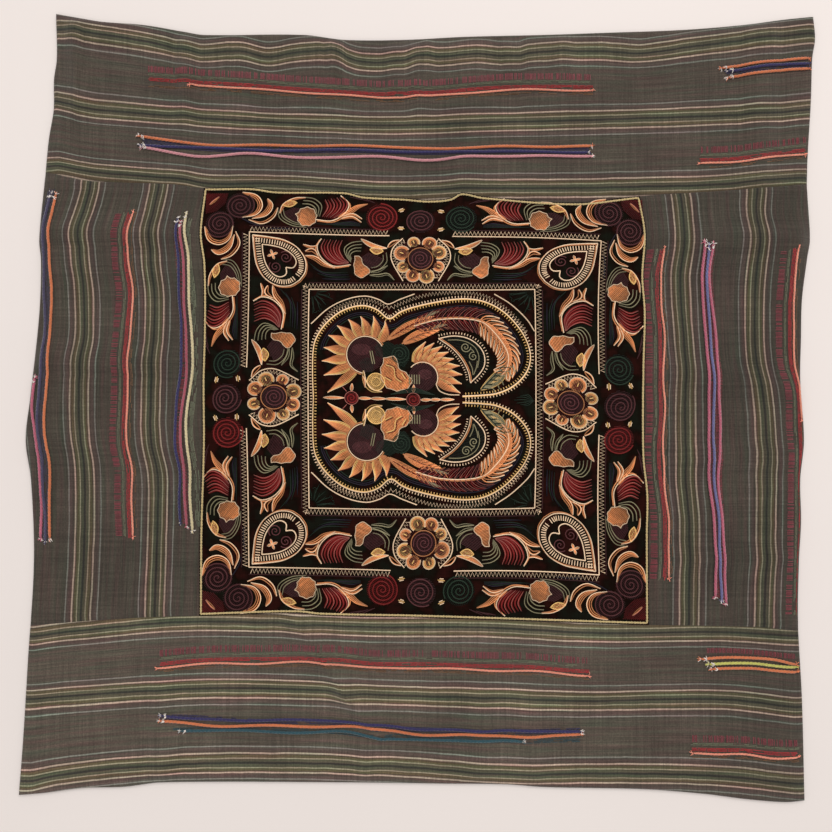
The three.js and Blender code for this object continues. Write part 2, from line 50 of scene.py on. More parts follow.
viewpoint = {
    "distance": 572,
    "tiltDegrees": 2.7,
    "targetX": -5.5,
    "targetY": -10.3,
    "sensor": 36,
    "focalPixels": 892,
    "imagePixels": 832,
    "clipStart": 0.01,
}
room = {
    "floorColour": (243, 234, 229),
    "floorSize": 6,
    "floorGrain": 3.0,
    "floorShade": (0.97, 1.03),
    "skyColour": (0.99, 0.98, 0.97, 1),
    "skyStrength": 0.5,
    "windowPower": 17.5,
    "windowSize": 1.3,
    "windowPlace": (0.4, 0.95, 1.6),
    "windowColour": (1.0, 0.98, 0.97),
    "fillPower": 7.5,
    "fillSize": 2.2,
    "fillPlace": (-0.4, -0.9, 1.9),
    "fillColour": (1.0, 0.97, 0.95),
}
softShine = {"specular": 0.25, "sheenRoughness": 0.5}


def linear(rgb, scale=1):
    values = [c / 255 / 12.92 if c < 10 else ((c / 255 + 0.055) / 1.055) ** 2.4 for c in rgb]
    return tuple(value * scale for value in values) + (1,)


def addNode(tree, kind, inputs=(), **settings):
    made = tree.nodes.new(kind)
    for name, value in settings.items():
        setattr(made, name, value)
    for key, value in dict(inputs).items():
        if isinstance(value, bpy.types.NodeSocket):
            tree.links.new(value, made.inputs[key])
        else:
            made.inputs[key].default_value = value
    return made


def maths(tree, operation, first, second=0.0):
    return addNode(tree, "ShaderNodeMath", {0: first, 1: second}, operation=operation).outputs[0]


def noise(tree, vector, scale, detail=3):
    inputs = {"Vector": vector, "Scale": scale, "Detail": detail}
    return addNode(tree, "ShaderNodeTexNoise", inputs).outputs["Fac"]


def fibres(tree, place, along, beside, detail=2):
    scale = (along, beside, 1)
    drawnOut = addNode(tree, "ShaderNodeMapping", {"Vector": place, "Scale": scale}).outputs["Vector"]
    return noise(tree, drawnOut, 1.0, detail)


def objectPlace(tree):
    return addNode(tree, "ShaderNodeTexCoord").outputs["Object"]


def scaled(tree, colour, amount):
    return addNode(tree, "ShaderNodeVectorMath", {0: colour, 3: amount}, operation="SCALE").outputs[0]


def shaded(tree, colour, amount, low, high):
    level = addNode(tree, "ShaderNodeMapRange", {"Value": amount, "To Min": low, "To Max": high})
    return scaled(tree, colour, level.outputs[0])


def newFinish(name, roughness, sheen=0.0):
    made = bpy.data.materials.new(name)
    made.use_nodes = True
    tree = made.node_tree
    shader = tree.nodes["Principled BSDF"]
    shader.inputs["Roughness"].default_value = roughness
    shader.inputs["Specular IOR Level"].default_value = softShine["specular"]
    shader.inputs["Sheen Weight"].default_value = sheen
    shader.inputs["Sheen Roughness"].default_value = softShine["sheenRoughness"]
    return made, tree, shader


def setBump(tree, shader, height, distance, strength=1.0):
    bump = addNode(tree, "ShaderNodeBump", {"Height": height, "Distance": distance, "Strength": strength})
    tree.links.new(bump.outputs["Normal"], shader.inputs["Normal"])


def aimCamera():
    tilt = math.radians(viewpoint["tiltDegrees"])
    lens = bpy.data.cameras.new("viewpoint")
    lens.sensor_width = viewpoint["sensor"]
    lens.lens = viewpoint["sensor"] * viewpoint["focalPixels"] / viewpoint["imagePixels"]
    lens.clip_start = viewpoint["clipStart"]
    eye = bpy.data.objects.new("viewpoint", lens)
    reach = viewpoint["distance"] * mm
    eye.location = (
        viewpoint["targetX"] * mm,
        viewpoint["targetY"] * mm - reach * math.sin(tilt),
        reach * math.cos(tilt),
    )
    eye.rotation_euler = (tilt, 0, 0)
    scene.collection.objects.link(eye)
    scene.camera = eye


def hangLight(name, place, size, power, colour):
    lamp = bpy.data.lights.new(name, "AREA")
    lamp.size = size
    lamp.energy = power
    lamp.color = colour
    holder = bpy.data.objects.new(name, lamp)
    holder.location = place
    aim = -holder.location
    holder.rotation_euler = aim.to_track_quat("-Z", "Y").to_euler()
    scene.collection.objects.link(holder)


def layFloor():
    half = room["floorSize"] / 2
    corners = [(-half, -half, 0), (half, -half, 0), (half, half, 0), (-half, half, 0)]
    sheet = bpy.data.meshes.new("floor")
    sheet.from_pydata(corners, [], [(0, 1, 2, 3)])
    floor = bpy.data.objects.new("floor", sheet)
    scene.collection.objects.link(floor)
    finish, tree, shader = newFinish("palePaper", 0.9)
    grain = noise(tree, objectPlace(tree), room["floorGrain"])
    colour = shaded(tree, linear(room["floorColour"])[:3], grain, *room["floorShade"])
    tree.links.new(colour, shader.inputs["Base Color"])
    sheet.materials.append(finish)


def lightRoom():
    world = bpy.data.worlds.new("studio")
    world.use_nodes = True
    backdrop = world.node_tree.nodes["Background"]
    backdrop.inputs["Color"].default_value = room["skyColour"]
    backdrop.inputs["Strength"].default_value = room["skyStrength"]
    scene.world = world
    for name in ("window", "fill"):
        place, size = room[name + "Place"], room[name + "Size"]
        hangLight(name, place, size, room[name + "Power"], room[name + "Colour"])


aimCamera()
layFloor()
lightRoom()
print("camera, floor and light are set")

# The cloth's plan as (at, to) rows: the outline and the seams, and the lines that the weave follows.

farEdge = [
    (-241, 252.7), (-223, 249.4), (-210, 247.3), (-184, 245.3), (-157, 240.7), (-144, 238.6),
    (-79, 238.6), (-52, 235.3), (-13, 235.3), (26, 237.3), (78, 238.6), (118, 240), (170, 242),
    (209, 245.3), (236, 248.9), (254, 250.7),
]
nearEdge = [
    (-255, -248.3), (-239, -247), (-214, -243.9), (-189, -243.2), (-164, -240.4), (-51, -240.4),
    (12, -241.2), (50, -241.6), (75, -243.3), (138, -244.7), (176, -247.6), (201, -250.7),
    (226, -252.6), (238, -251.6),
]
leftEdge = [
    (-248, -254.5), (-215, -252.6), (-165, -250.5), (-102, -248), (-51, -250.9), (-26, -254.8),
    (0, -252.6), (39, -248.9), (65, -247.3), (91, -247.4), (104, -248.7), (143, -245.8), (170, -243.7),
    (189, -241), (209, -241.2), (223, -239.6), (253, -240.7),
]
rightEdge = [
    (-252, 238), (-190, 237.7), (-140, 236.2), (-102, 237.6), (-77, 239.4), (-51, 239.4), (-26, 242.3),
    (13, 240.7), (39, 241.7), (65, 242.9), (91, 246.7), (104, 248.8), (143, 247.7), (196, 251.4),
    (223, 252.8), (236, 254.9), (251, 253.9),
]
farSeam = [
    (-246, 148.4), (-217, 142.5), (-165, 140.5), (-146, 138.2), (-112, 138.2), (-96, 136.1),
    (-52, 135.6), (-40, 132.8), (-12, 131.2), (2, 130), (17, 131.2), (24, 134.6), (38, 132.3),
    (98, 128.3), (140, 132.6), (218, 137.5), (248, 140.5),
]
nearSeam = [
    (-250, -143.4), (-189, -138.9), (-143, -137.3), (-81, -135.5), (-66, -137.1), (-6, -138.3),
    (50, -140), (142, -143), (212, -144.5), (236, -146.8),
]
leftSeam = [
    (-137, -143.2), (-81, -143.4), (-31, -142.5), (13, -143.2), (43, -142.7), (87, -143.4), (108, -146),
    (138, -143.1),
]
rightSeam = [
    (-142, 142.3), (-86, 142.8), (-61, 143.4), (-36, 141.2), (19, 141.8), (56, 143.2), (80, 141.9),
    (108, 143.6), (132, 139.9),
]
weaveLines = {
    "far": [
        (-240, 195.4), (-230, 192.4), (-225, 190.4), (-198, 187.9), (-159, 185), (-88, 181), (-20, 179),
        (45, 181.1), (140, 183.7), (220, 186.5), (253, 190),
    ],
    "near": [
        (-251, -189.3), (-218, -186.8), (-142, -182.5), (-66, -183.8), (-28, -186.8), (60, -188.7),
        (98, -190.4), (187, -189.4), (234, -194.3),
    ],
    "leftOuter": [
        (-137, -218.5), (-89, -216.8), (-38, -217.7), (-13, -221.2), (13, -221.6), (39, -219.1),
        (78, -220.4), (107, -223.4), (137, -216.9),
    ],
    "leftInner": [
        (-137, -171.4), (-51, -170.1), (-26, -174.3), (-13, -175.7), (65, -174), (107, -177.4),
        (137, -172.6),
    ],
    "rightInner": [
        (-137, 167.7), (-77, 168.5), (-51, 166.5), (26, 167.3), (78, 165), (97, 167), (116, 167.4),
        (137, 165.6),
    ],
    "rightOuter": [
        (-137, 215.6), (-89, 217.4), (-13, 218.4), (26, 213), (65, 213), (107, 216.2), (122, 214.6),
        (137, 215.4),
    ],
}
# Two more stripe groups in each long strip: the outer ones are puckered, and the seam cuts the inner.
outerGroups = {
    "farOuter": [
        (-240, 243.4), (-200, 238), (-173, 233), (-147, 227.3), (-121, 228.8), (-102, 224.6),
        (-81, 228.1), (-60, 228), (-43, 221.3), (-13, 221.3), (0, 225.6), (10, 224.3), (35, 226.6),
        (59, 224.6), (69, 227.3), (115, 228.6), (141, 227), (180, 232), (252, 240.7),
    ],
    "farInner": [
        (-237, 152.3), (-211, 147.7), (-159, 143.9), (-139, 140.7), (-100, 140.9), (-61, 138.7),
        (-22, 136), (36, 137.5), (114, 138.1), (192, 140), (244, 144.6),
    ],
    "nearInner": [
        (-248, -150.4), (-231, -148), (-193, -144.1), (-155, -141.1), (-98, -141.7), (-41, -144.3),
        (35, -144.4), (111, -148.1), (187, -147.5), (238, -149.9),
    ],
    "nearOuter": [
        (-248, -240.5), (-230, -236.6), (-192, -232), (-154, -229.4), (-97, -228.9), (-22, -231.1),
        (54, -235.9), (110, -235.5), (186, -237.1), (236, -242),
    ],
}


def curveThrough(rows):
    at, to = np.array(rows, float).T
    order = np.arange(len(at))
    before = np.maximum(order - 1, 0)
    after = np.minimum(order + 1, len(at) - 1)
    slopes = (to[after] - to[before]) / (at[after] - at[before])

    def read(where):
        where = np.asarray(where, float)
        i = np.clip(np.searchsorted(at, where) - 1, 0, len(at) - 2)
        span = at[i + 1] - at[i]
        t = np.clip((where - at[i]) / span, 0, 1)
        rise = t * t * (3 - 2 * t)
        lead = t * (1 - t) ** 2 * span * slopes[i]
        tail = t * t * (t - 1) * span * slopes[i + 1]
        return to[i] * (1 - rise) + to[i + 1] * rise + lead + tail

    return read


# Seams and lines were measured as if they lay on the floor. The face lies higher, so they are moved
# towards the point of the floor that is straight below the eye.
faceRise = {"height": 3.3, "distance": 572, "eyeX": -5.5, "eyeY": -37.2}


def settled(x, y):
    share = faceRise["height"] / faceRise["distance"]
    return x - (x - faceRise["eyeX"]) * share, y - (y - faceRise["eyeY"]) * share


def faceCurve(rows, upright):
    if upright:
        return curveThrough([settled(x, y)[::-1] for y, x in rows])
    return curveThrough([settled(x, y) for x, y in rows])


outline = {
    "far": curveThrough(farEdge),
    "near": curveThrough(nearEdge),
    "left": curveThrough(leftEdge),
    "right": curveThrough(rightEdge),
}
seam = {
    "far": faceCurve(farSeam, False),
    "near": faceCurve(nearSeam, False),
    "left": faceCurve(leftSeam, True),
    "right": faceCurve(rightSeam, True),
}
weave = {
    name: faceCurve(rows, name.startswith(("left", "right")))
    for name, rows in {**weaveLines, **outerGroups}.items()
}


def meeting(yFromX, xFromY):
    y = float(yFromX(0))
    for _ in range(8):
        y = float(yFromX(xFromY(y)))
    return float(xFromY(y)), y


def cornersOf(across, upright):
    return {
        (a, b): meeting(across[a], upright[b]) for a in ("far", "near") for b in ("left", "right")
    }


coverCorner = cornersOf(outline, outline)
seamEnd = cornersOf(seam, outline)
panelCorner = cornersOf(seam, seam)

# Height of the cloth

clothLayers = {
    "backTop": 1.2,
    "leastGap": 0.1,
    "edgeThickness": 0.1,
    "faceUnder": 1.5,
    "clothThickness": 1.2,
    "panelThickness": 1.6,
    "panelSoftness": 0.35,
    "restLift": 0.8,
    "edgeFall": 9,
    "edgeRound": 2.4,
    "seamDip": 1.0,
    "seamWidth": 2.2,
    "panelDip": 0.45,
    "creaseFade": (-1, 4),
}
folds = [  # x1, y1, x2, y2, width, height
    (-227, 251, -223, 188, 6, 3), (-154, 240, -155, 184, 6, 2.5), (-59, 237, -56, 216, 6, 3),
    (-19, 225, -19, 201, 6, 2.4), (-9, 236, -5, 191, 6, 2.6), (54, 237, 57, 216, 7, 2),
    (90, 237, 89, 219, 7, 2), (25, 150, 25, 128, 9, 2.5), (218, 243, 216, 143, 12, 2.5),
    (-246, 110, -152, 106, 9, 3), (-245, 85, -152, 84, 9, 2.2), (-251, 28, -160, 24, 10, 3.4),
    (-253, -26, -157, -32, 10, 2.6), (150, 103, 246, 102, 10, 3), (150, 20, 241, 5, 10, 3),
    (165, -36, 240, -36, 7, 2.4), (150, -101, 238, -101, 7, 2), (-81, -140, -50, -184, 7, 3.4),
    (-50, -184, -28, -209, 7, 3.4), (-39, -216, -37, -246, 8, 2.4), (-164, -152, -163, -240, 11, 2),
    (35, -190, 35, -240, 10, 2), (66, -190, 66, -243, 10, 2),
]
creases = [  # narrower ones, in this script alone
    (-221.6, 242, -221, 186, 1.7, -1.0), (-124.7, 236, -125, 216, 1.5, -0.8),
    (-57, 233, -56, 206, 1.6, -0.9), (-80, -141, -64, -163, 1.6, 1.3), (-64, -163, -50, -186, 1.6, 1.4),
    (-50, -186, -38, -201, 1.6, 1.2), (-38, -201, -26, -213, 1.8, 0.9), (-182, 38, -160, 38, 1.6, -0.6),
    (150, -34, 232, -37, 1.8, -0.7), (-246, 99, -170, 97, 2.2, -0.8), (-250, 17, -172, 15, 2.4, -0.8),
    (-66, 236, -63, 214, 2.2, -1.0), (-50, 236, -51, 214, 2.2, -1.0), (-2, 233, 1, 206, 2.2, -0.9),
    (48, 236, 50, 215, 2.0, -0.7), (62, 236, 64, 215, 2.0, -0.7), (-146, 239, -147, 205, 2.4, -0.7),
    (-162, 240, -163, 205, 2.4, -0.7), (205, 242, 203, 160, 3, -0.6), (232, 244, 230, 160, 3, -0.6),
    (-174, -153, -173, -236, 3, -0.5),
]
ripples = [(195, 1400, 0.4, 1), (360, 180, 0.3, 0)]  # wavelengths along x and y, height, start
reliefMap = {"reach": 262, "step": 0.8}
puckers = {
    "pitch": 11,
    "spacing": (0.5, 1.6),
    "length": (7, 24),
    "lean": 0.25,
    "width": (2.2, 4.6),
    "height": (0.15, 0.5),
    "seamHeight": (0.1, 0.32),
    "edges": {  # from, to, inwards
        "far": (-238, 246, -1),
        "near": (-248, 232, 1),
        "left": (-240, 240, 1),
        "right": (-240, 240, -1),
    },
    "seams": {"far": (-238, 240), "near": (-244, 232), "left": (-134, 132), "right": (-138, 130)},
}


def smoothstep(value, low, high):
    t = np.clip((value - low) / (high - low), 0, 1)
    return t * t * (3 - 2 * t)


def ridgeMap(rows):
    reach = reliefMap["reach"]
    step = reliefMap["step"]
    count = int(2 * reach / step) + 1
    total = np.zeros((count, count))
    ticks = np.linspace(-reach, reach, count)
    for x1, y1, x2, y2, width, height in rows:
        margin = 3 * width
        i1, i2 = np.searchsorted(ticks, [min(x1, x2) - margin, max(x1, x2) + margin])
        j1, j2 = np.searchsorted(ticks, [min(y1, y2) - margin, max(y1, y2) + margin])
        x, y = np.meshgrid(ticks[i1:i2], ticks[j1:j2])
        dx = x2 - x1
        dy = y2 - y1
        share = np.clip(((x - x1) * dx + (y - y1) * dy) / (dx * dx + dy * dy), 0, 1)
        away = np.hypot(x - x1 - share * dx, y - y1 - share * dy)
        total[j1:j2, i1:i2] += height * np.exp(-((away / width) ** 2))
    return total


def readMap(table, x, y):
    reach = reliefMap["reach"]
    step = reliefMap["step"]
    last = table.shape[0] - 2
    i = np.clip((x + reach) / step, 0, last + 0.999)
    j = np.clip((y + reach) / step, 0, last + 0.999)
    i0, j0 = i.astype(int), j.astype(int)
    u, v = i - i0, j - j0
    near = table[j0, i0] * (1 - u) + table[j0, i0 + 1] * u
    far = table[j0 + 1, i0] * (1 - u) + table[j0 + 1, i0 + 1] * u
    return near * (1 - v) + far * v


def puckerRows():
    rows = []

    def along(edge, fromAt, toAt, inward, sideways, heights):
        at = fromAt
        while at < toAt:
            at += puckers["pitch"] * draws.uniform(*puckers["spacing"])
            length = draws.uniform(*puckers["length"])
            lean = draws.uniform(-puckers["lean"], puckers["lean"]) * length
            width = draws.uniform(*puckers["width"])
            height = draws.uniform(*heights) * draws.choice([1, 1, -1])
            start = (at, float(edge(at)))
            end = (at + lean, start[1] + inward * length)
            if sideways:
                start, end = start[::-1], end[::-1]
            rows.append((*start, *end, width, height))

    for name, (first, last, inward) in puckers["edges"].items():
        along(outline[name], first, last, inward, name in ("left", "right"), puckers["height"])
    for side in (1, -1):
        for name, (first, last) in puckers["seams"].items():
            along(seam[name], first, last, side, name in ("left", "right"), puckers["seamHeight"])
    return rows


broadMap = ridgeMap(folds)
fineMap = ridgeMap(puckerRows())
sharpMap = ridgeMap(creases)


def edgeDistance(x, y):
    return np.minimum.reduce([
        outline["far"](x) - y, y - outline["near"](x), x - outline["left"](y), outline["right"](y) - x,
    ])


def seamDistance(x, y):
    across = np.minimum(np.abs(y - seam["far"](x)), np.abs(y - seam["near"](x)))
    upright = np.minimum(np.abs(x - seam["left"](y)), np.abs(x - seam["right"](y)))
    between = (y < seam["far"](x)) & (y > seam["near"](x))
    return np.where(between, np.minimum(across, upright), across)


def underLevel(x, y, panel):
    x, y = np.asarray(x, float), np.asarray(y, float)
    toEdge = edgeDistance(x, y)
    waves = sum(h * np.sin(2 * np.pi * (x / lx + y / ly) + start) for lx, ly, h, start in ripples)
    broad = readMap(broadMap, x, y)
    level = smoothstep(toEdge, 0, clothLayers["edgeFall"]) * (clothLayers["restLift"] + waves + broad)
    fine = readMap(fineMap, x, y)
    seamAway = np.exp(-((seamDistance(x, y) / clothLayers["seamWidth"]) ** 2))
    if panel:
        level = clothLayers["panelSoftness"] * (level + fine) - clothLayers["panelDip"] * seamAway
    else:
        sharp = readMap(sharpMap, x, y)
        creased = smoothstep(toEdge, *clothLayers["creaseFade"]) * (fine + sharp)
        level = level + creased - clothLayers["seamDip"] * seamAway
    lowest = clothLayers["backTop"] + clothLayers["leastGap"]
    return np.maximum(clothLayers["faceUnder"] + level, lowest)


def edgeRounding(x, y):
    toEdge = np.clip(edgeDistance(x, y) / clothLayers["edgeRound"], 0, 1)
    return np.sqrt(1 - (1 - toEdge) ** 2)


def topLevel(x, y, panel=False):
    thickness = clothLayers["panelThickness" if panel else "clothThickness"]
    thin = clothLayers["edgeThickness"]
    return underLevel(x, y, panel) + thin + (thickness - thin) * edgeRounding(x, y)


print("cloth heights are ready")

# Sheets

sheetGrid = {
    "step": 2.5,
    "backStep": 6,
    "edgeRows": [0, 0.25, 0.8, 1.6, 2.6, 4],
    "seamRows": [0, 0.7, 1.6, 3, 4.6],
}
mapShift = 0.5  # moves the woven cloth's map clear of places below nought


def stops(length, step, firstRows, lastRows):
    first = np.array(firstRows)
    last = length - np.array(lastRows)[::-1]
    count = max(2, round((last[0] - first[-1]) / step))
    middle = np.linspace(first[-1], last[0], count + 1)[1:-1]
    return np.concatenate([first, middle, last]) / length


def acrossRail(curve, start, end, shares):
    x = start[0] + (end[0] - start[0]) * shares
    return np.stack([x, curve(x)], -1)


def uprightRail(curve, start, end, shares):
    y = start[1] + (end[1] - start[1]) * shares
    return np.stack([curve(y), y], -1)


def gridBetween(nearCurve, farCurve, leftCurve, rightCurve, corners, step, rows):
    nearLeft, nearRight, farLeft, farRight = [np.array(c) for c in corners]
    us = stops(np.linalg.norm(nearRight - nearLeft), step, rows["left"], rows["right"])
    vs = stops(np.linalg.norm(farLeft - nearLeft), step, rows["near"], rows["far"])
    near = acrossRail(nearCurve, nearLeft, nearRight, us)[None]
    far = acrossRail(farCurve, farLeft, farRight, us)[None]
    left = uprightRail(leftCurve, nearLeft, farLeft, vs)[:, None]
    right = uprightRail(rightCurve, nearRight, farRight, vs)[:, None]
    u = us[None, :, None]
    v = vs[:, None, None]
    flat = nearLeft * (1 - u) * (1 - v) + nearRight * u * (1 - v)
    flat = flat + farLeft * (1 - u) * v + farRight * u * v
    return near * (1 - v) + far * v + left * (1 - u) + right * u - flat


def newMeshObject(name, points, faces):
    made = bpy.data.meshes.new(name)
    made.from_pydata(np.asarray(points) * mm, [], faces)
    made.shade_smooth()
    holder = bpy.data.objects.new(name, made)
    scene.collection.objects.link(holder)
    return holder


def closedSheet(name, grid, under, top):
    rows, columns = grid.shape[:2]
    x, y = grid[..., 0], grid[..., 1]
    layers = [np.stack([x, y, level], -1).reshape(-1, 3) for level in (under, top)]
    index = np.arange(rows * columns).reshape(rows, columns)
    a, b = index[:-1, :-1].ravel(), index[:-1, 1:].ravel()
    c, d = index[1:, 1:].ravel(), index[1:, :-1].ravel()
    shift = rows * columns
    faces = np.concatenate([
        np.stack([a, d, c, b], -1),
        np.stack([a, b, c, d], -1) + shift,
    ])
    rim = np.concatenate([index[0, :-1], index[:-1, -1], index[-1, :0:-1], index[:0:-1, 0]])
    after = np.roll(rim, -1)
    faces = np.concatenate([faces, np.stack([rim, after, after + shift, rim + shift], -1)])
    return newMeshObject(name, np.concatenate(layers), faces.tolist())


def pointsOf(mesh):
    places = np.empty(len(mesh.vertices) * 3)
    mesh.vertices.foreach_get("co", places)
    return places.reshape(-1, 3)


def layWeaveMap(piece, guides, upright, pitch):
    mesh = piece.data
    x, y, _ = pointsOf(mesh).T / mm
    along, across = (y, x) if upright else (x, y)
    levels = [weave[name](along) for name in guides]
    result = across - levels[0]
    for k in range(len(levels) - 1):
        share = (across - levels[k]) / (levels[k + 1] - levels[k])
        result = np.where(across > levels[k], pitch * (k + share), result)
    last = pitch * (len(levels) - 1) + across - levels[-1]
    result = np.where(across > levels[-1], last, result)
    chart = np.stack([along, result], -1) * mm + mapShift
    corners = np.empty(len(mesh.loops), np.int32)
    mesh.loops.foreach_get("vertex_index", corners)
    layer = mesh.uv_layers.new(name="weave")
    layer.data.foreach_set("uv", chart[corners].astype(np.float32).ravel())


edgeRows = sheetGrid["edgeRows"]
seamRows = sheetGrid["seamRows"]
strips = {
    "border_top": {
        "rails": (seam["far"], outline["far"], outline["left"], outline["right"]),
        "corners": [
            seamEnd["far", "left"], seamEnd["far", "right"],
            coverCorner["far", "left"], coverCorner["far", "right"],
        ],
        "rows": {"near": seamRows, "far": edgeRows, "left": edgeRows, "right": edgeRows},
        "guides": ["farInner", "far", "farOuter"],
        "stripBrightness": (0.84, 0.8),
    },
    "border_bottom": {
        "rails": (outline["near"], seam["near"], outline["left"], outline["right"]),
        "corners": [
            coverCorner["near", "left"], coverCorner["near", "right"],
            seamEnd["near", "left"], seamEnd["near", "right"],
        ],
        "rows": {"near": edgeRows, "far": seamRows, "left": edgeRows, "right": edgeRows},
        "guides": ["nearOuter", "near", "nearInner"],
        "stripBrightness": (1.1, 0.76),
    },
    "border_left": {
        "rails": (seam["near"], seam["far"], outline["left"], seam["left"]),
        "corners": [
            seamEnd["near", "left"], panelCorner["near", "left"],
            seamEnd["far", "left"], panelCorner["far", "left"],
        ],
        "rows": {"near": seamRows, "far": seamRows, "left": edgeRows, "right": seamRows},
        "guides": ["leftOuter", "leftInner"],
        "stripBrightness": (0.73, 0.73),
    },
    "border_right": {
        "rails": (seam["near"], seam["far"], seam["right"], outline["right"]),
        "corners": [
            panelCorner["near", "right"], seamEnd["near", "right"],
            panelCorner["far", "right"], seamEnd["far", "right"],
        ],
        "rows": {"near": seamRows, "far": seamRows, "left": seamRows, "right": edgeRows},
        "guides": ["rightInner", "rightOuter"],
        "stripBrightness": (0.7, 0.64),
    },
}
centrePanel = {
    "rails": (seam["near"], seam["far"], seam["left"], seam["right"]),
    "corners": [
        panelCorner["near", "left"], panelCorner["near", "right"],
        panelCorner["far", "left"], panelCorner["far", "right"],
    ],
    "rows": {"near": seamRows, "far": seamRows, "left": seamRows, "right": seamRows},
}
backSheet = {
    "rails": (outline["near"], outline["far"], outline["left"], outline["right"]),
    "corners": [
        coverCorner["near", "left"], coverCorner["near", "right"],
        coverCorner["far", "left"], coverCorner["far", "right"],
    ],
    "rows": {"near": edgeRows, "far": edgeRows, "left": edgeRows, "right": edgeRows},
}

# Striped hand-woven cloth. Each row of "bands" is a distance from a stripe group's middle and the
# colour there.

stripedCloth = {
    "pitch": 45,
    "bands": [
        (0.0, (50, 48, 42)), (0.5, (60, 58, 49)), (0.9, (86, 83, 66)), (1.9, (82, 81, 62)),
        (2.3, (82, 75, 60)), (2.6, (154, 144, 120)), (3.0, (154, 144, 120)), (3.3, (95, 87, 62)),
        (4.6, (92, 80, 59)), (5.2, (76, 62, 52)), (5.6, (184, 161, 143)), (6.2, (184, 161, 143)),
        (6.5, (84, 68, 60)), (8.4, (90, 76, 69)), (9.4, (83, 75, 66)), (9.8, (132, 130, 120)),
        (10.2, (132, 130, 120)), (10.5, (80, 73, 63)), (13.0, (85, 76, 66)), (22.5, (86, 76, 66)),
    ],
    "albedo": 0.98,
    "wobbleStretch": (60, 90),
    "wobble": 0.9,
    "layers": [  # stretch along and across the warp, depth
        ((22, 1300), 0.3), ((1200, 40), 0.2), ((14, 420), 0.16), ((420, 16), 0.12), ((900, 900), 0.22),
        ((26, 26), 0.14),
    ],
    "hueStretch": (22, 380),
    "hueDepth": 0.15,
    "greenLean": 0.6,
    "roughness": 0.95,
    "sheen": 0.25,
    "bumpDepth": 0.3,
    "bumpStrength": 0.9,
    "brightnessFrom": 80,
    "brightnessTo": 220,
}
backCloth = {
    "colour": (80, 71, 62),
    "warp": (25, 1400),
    "weft": (1300, 30),
    "shade": (0.6, 1.4),
    "roughness": 0.95,
    "sheen": 0.2,
    "bumpDepth": 0.25,
    "bumpStrength": 0.8,
}
blackCloth = {
    "patches": [(0.36, (19, 20, 13)), (0.5, (19, 8, 4)), (0.62, (38, 13, 9))],
    "patchStretch": (70, 70),
    "warp": (60, 1400),
    "weft": (1400, 60),
    "shade": (0.3, 1.7),
    "roughness": 0.95,
    "specular": 0.06,
    "bumpDepth": 0.25,
    "bumpStrength": 0.8,
}


def bandRamp(tree, factor, bands, reach, albedo):
    ramp = addNode(tree, "ShaderNodeValToRGB", {"Fac": factor})
    ramp.color_ramp.interpolation = "LINEAR"
    points = ramp.color_ramp.elements
    while len(points) < len(bands):
        points.new(0.5)
    for point, (start, colour) in zip(points, bands):
        point.position = start / reach
        point.color = linear(colour, albedo)
    return ramp.outputs["Color"]


def wovenFinish():
    look = stripedCloth
    finish, tree, shader = newFinish("stripedCloth", look["roughness"], look["sheen"])
    chart = addNode(tree, "ShaderNodeUVMap", uv_map="weave").outputs["UV"]
    shift = fibres(tree, chart, *look["wobbleStretch"])
    wobble = maths(tree, "MULTIPLY", maths(tree, "SUBTRACT", shift, 0.5), look["wobble"] * mm)
    split = addNode(tree, "ShaderNodeSeparateXYZ", {0: chart})
    across = maths(tree, "ADD", maths(tree, "SUBTRACT", split.outputs["Y"], mapShift), wobble)
    reach = look["pitch"] / 2
    away = maths(tree, "PINGPONG", across, reach * mm)
    share = maths(tree, "DIVIDE", away, reach * mm)
    colour = bandRamp(tree, share, look["bands"], reach, look["albedo"])
    levels = []
    for stretch, depth in look["layers"]:
        levels.append(fibres(tree, chart, *stretch))
        colour = shaded(tree, colour, levels[-1], 1 - depth * 2, 1 + depth * 2)
    hue = fibres(tree, chart, *look["hueStretch"])
    lean = maths(tree, "MULTIPLY", maths(tree, "SUBTRACT", hue, 0.5), 4 * look["hueDepth"])
    redder = maths(tree, "ADD", 1.0, lean)
    greener = maths(tree, "SUBTRACT", 1.0, maths(tree, "MULTIPLY", lean, look["greenLean"]))
    dye = addNode(tree, "ShaderNodeCombineXYZ", {"X": redder, "Y": greener, "Z": 1.0}).outputs[0]
    colour = addNode(tree, "ShaderNodeVectorMath", {0: colour, 1: dye}, operation="MULTIPLY").outputs[0]
    # The colour is scaled by the strip's brightness, which changes along x.
    stripBrightness = addNode(tree, "ShaderNodeAttribute", attribute_name="stripBrightness").outputs["Fac"]
    tree.links.new(scaled(tree, colour, stripBrightness), shader.inputs["Base Color"])
    relief = maths(tree, "ADD", levels[0], levels[1])
    setBump(tree, shader, relief, look["bumpDepth"] * mm, look["bumpStrength"])
    return finish


def backFinish():
    look = backCloth
    finish, tree, shader = newFinish("backCloth", look["roughness"], look["sheen"])
    place = objectPlace(tree)
    crossed = maths(tree, "ADD", fibres(tree, place, *look["warp"]), fibres(tree, place, *look["weft"]))
    mixed = maths(tree, "MULTIPLY", crossed, 0.5)
    colour = shaded(tree, linear(look["colour"])[:3], mixed, *look["shade"])
    tree.links.new(colour, shader.inputs["Base Color"])
    setBump(tree, shader, crossed, look["bumpDepth"] * mm, look["bumpStrength"])
    return finish


def panelFinish():
    look = blackCloth
    finish, tree, shader = newFinish("blackCloth", look["roughness"])
    shader.inputs["Specular IOR Level"].default_value = look["specular"]
    place = objectPlace(tree)
    crossed = maths(tree, "ADD", fibres(tree, place, *look["warp"]), fibres(tree, place, *look["weft"]))
    mixed = maths(tree, "MULTIPLY", crossed, 0.5)
    patch = fibres(tree, place, *look["patchStretch"], 3)
    colour = shaded(tree, bandRamp(tree, patch, look["patches"], 1, 1), mixed, *look["shade"])
    tree.links.new(colour, shader.inputs["Base Color"])
    setBump(tree, shader, mixed, look["bumpDepth"] * mm, look["bumpStrength"])
    return finish


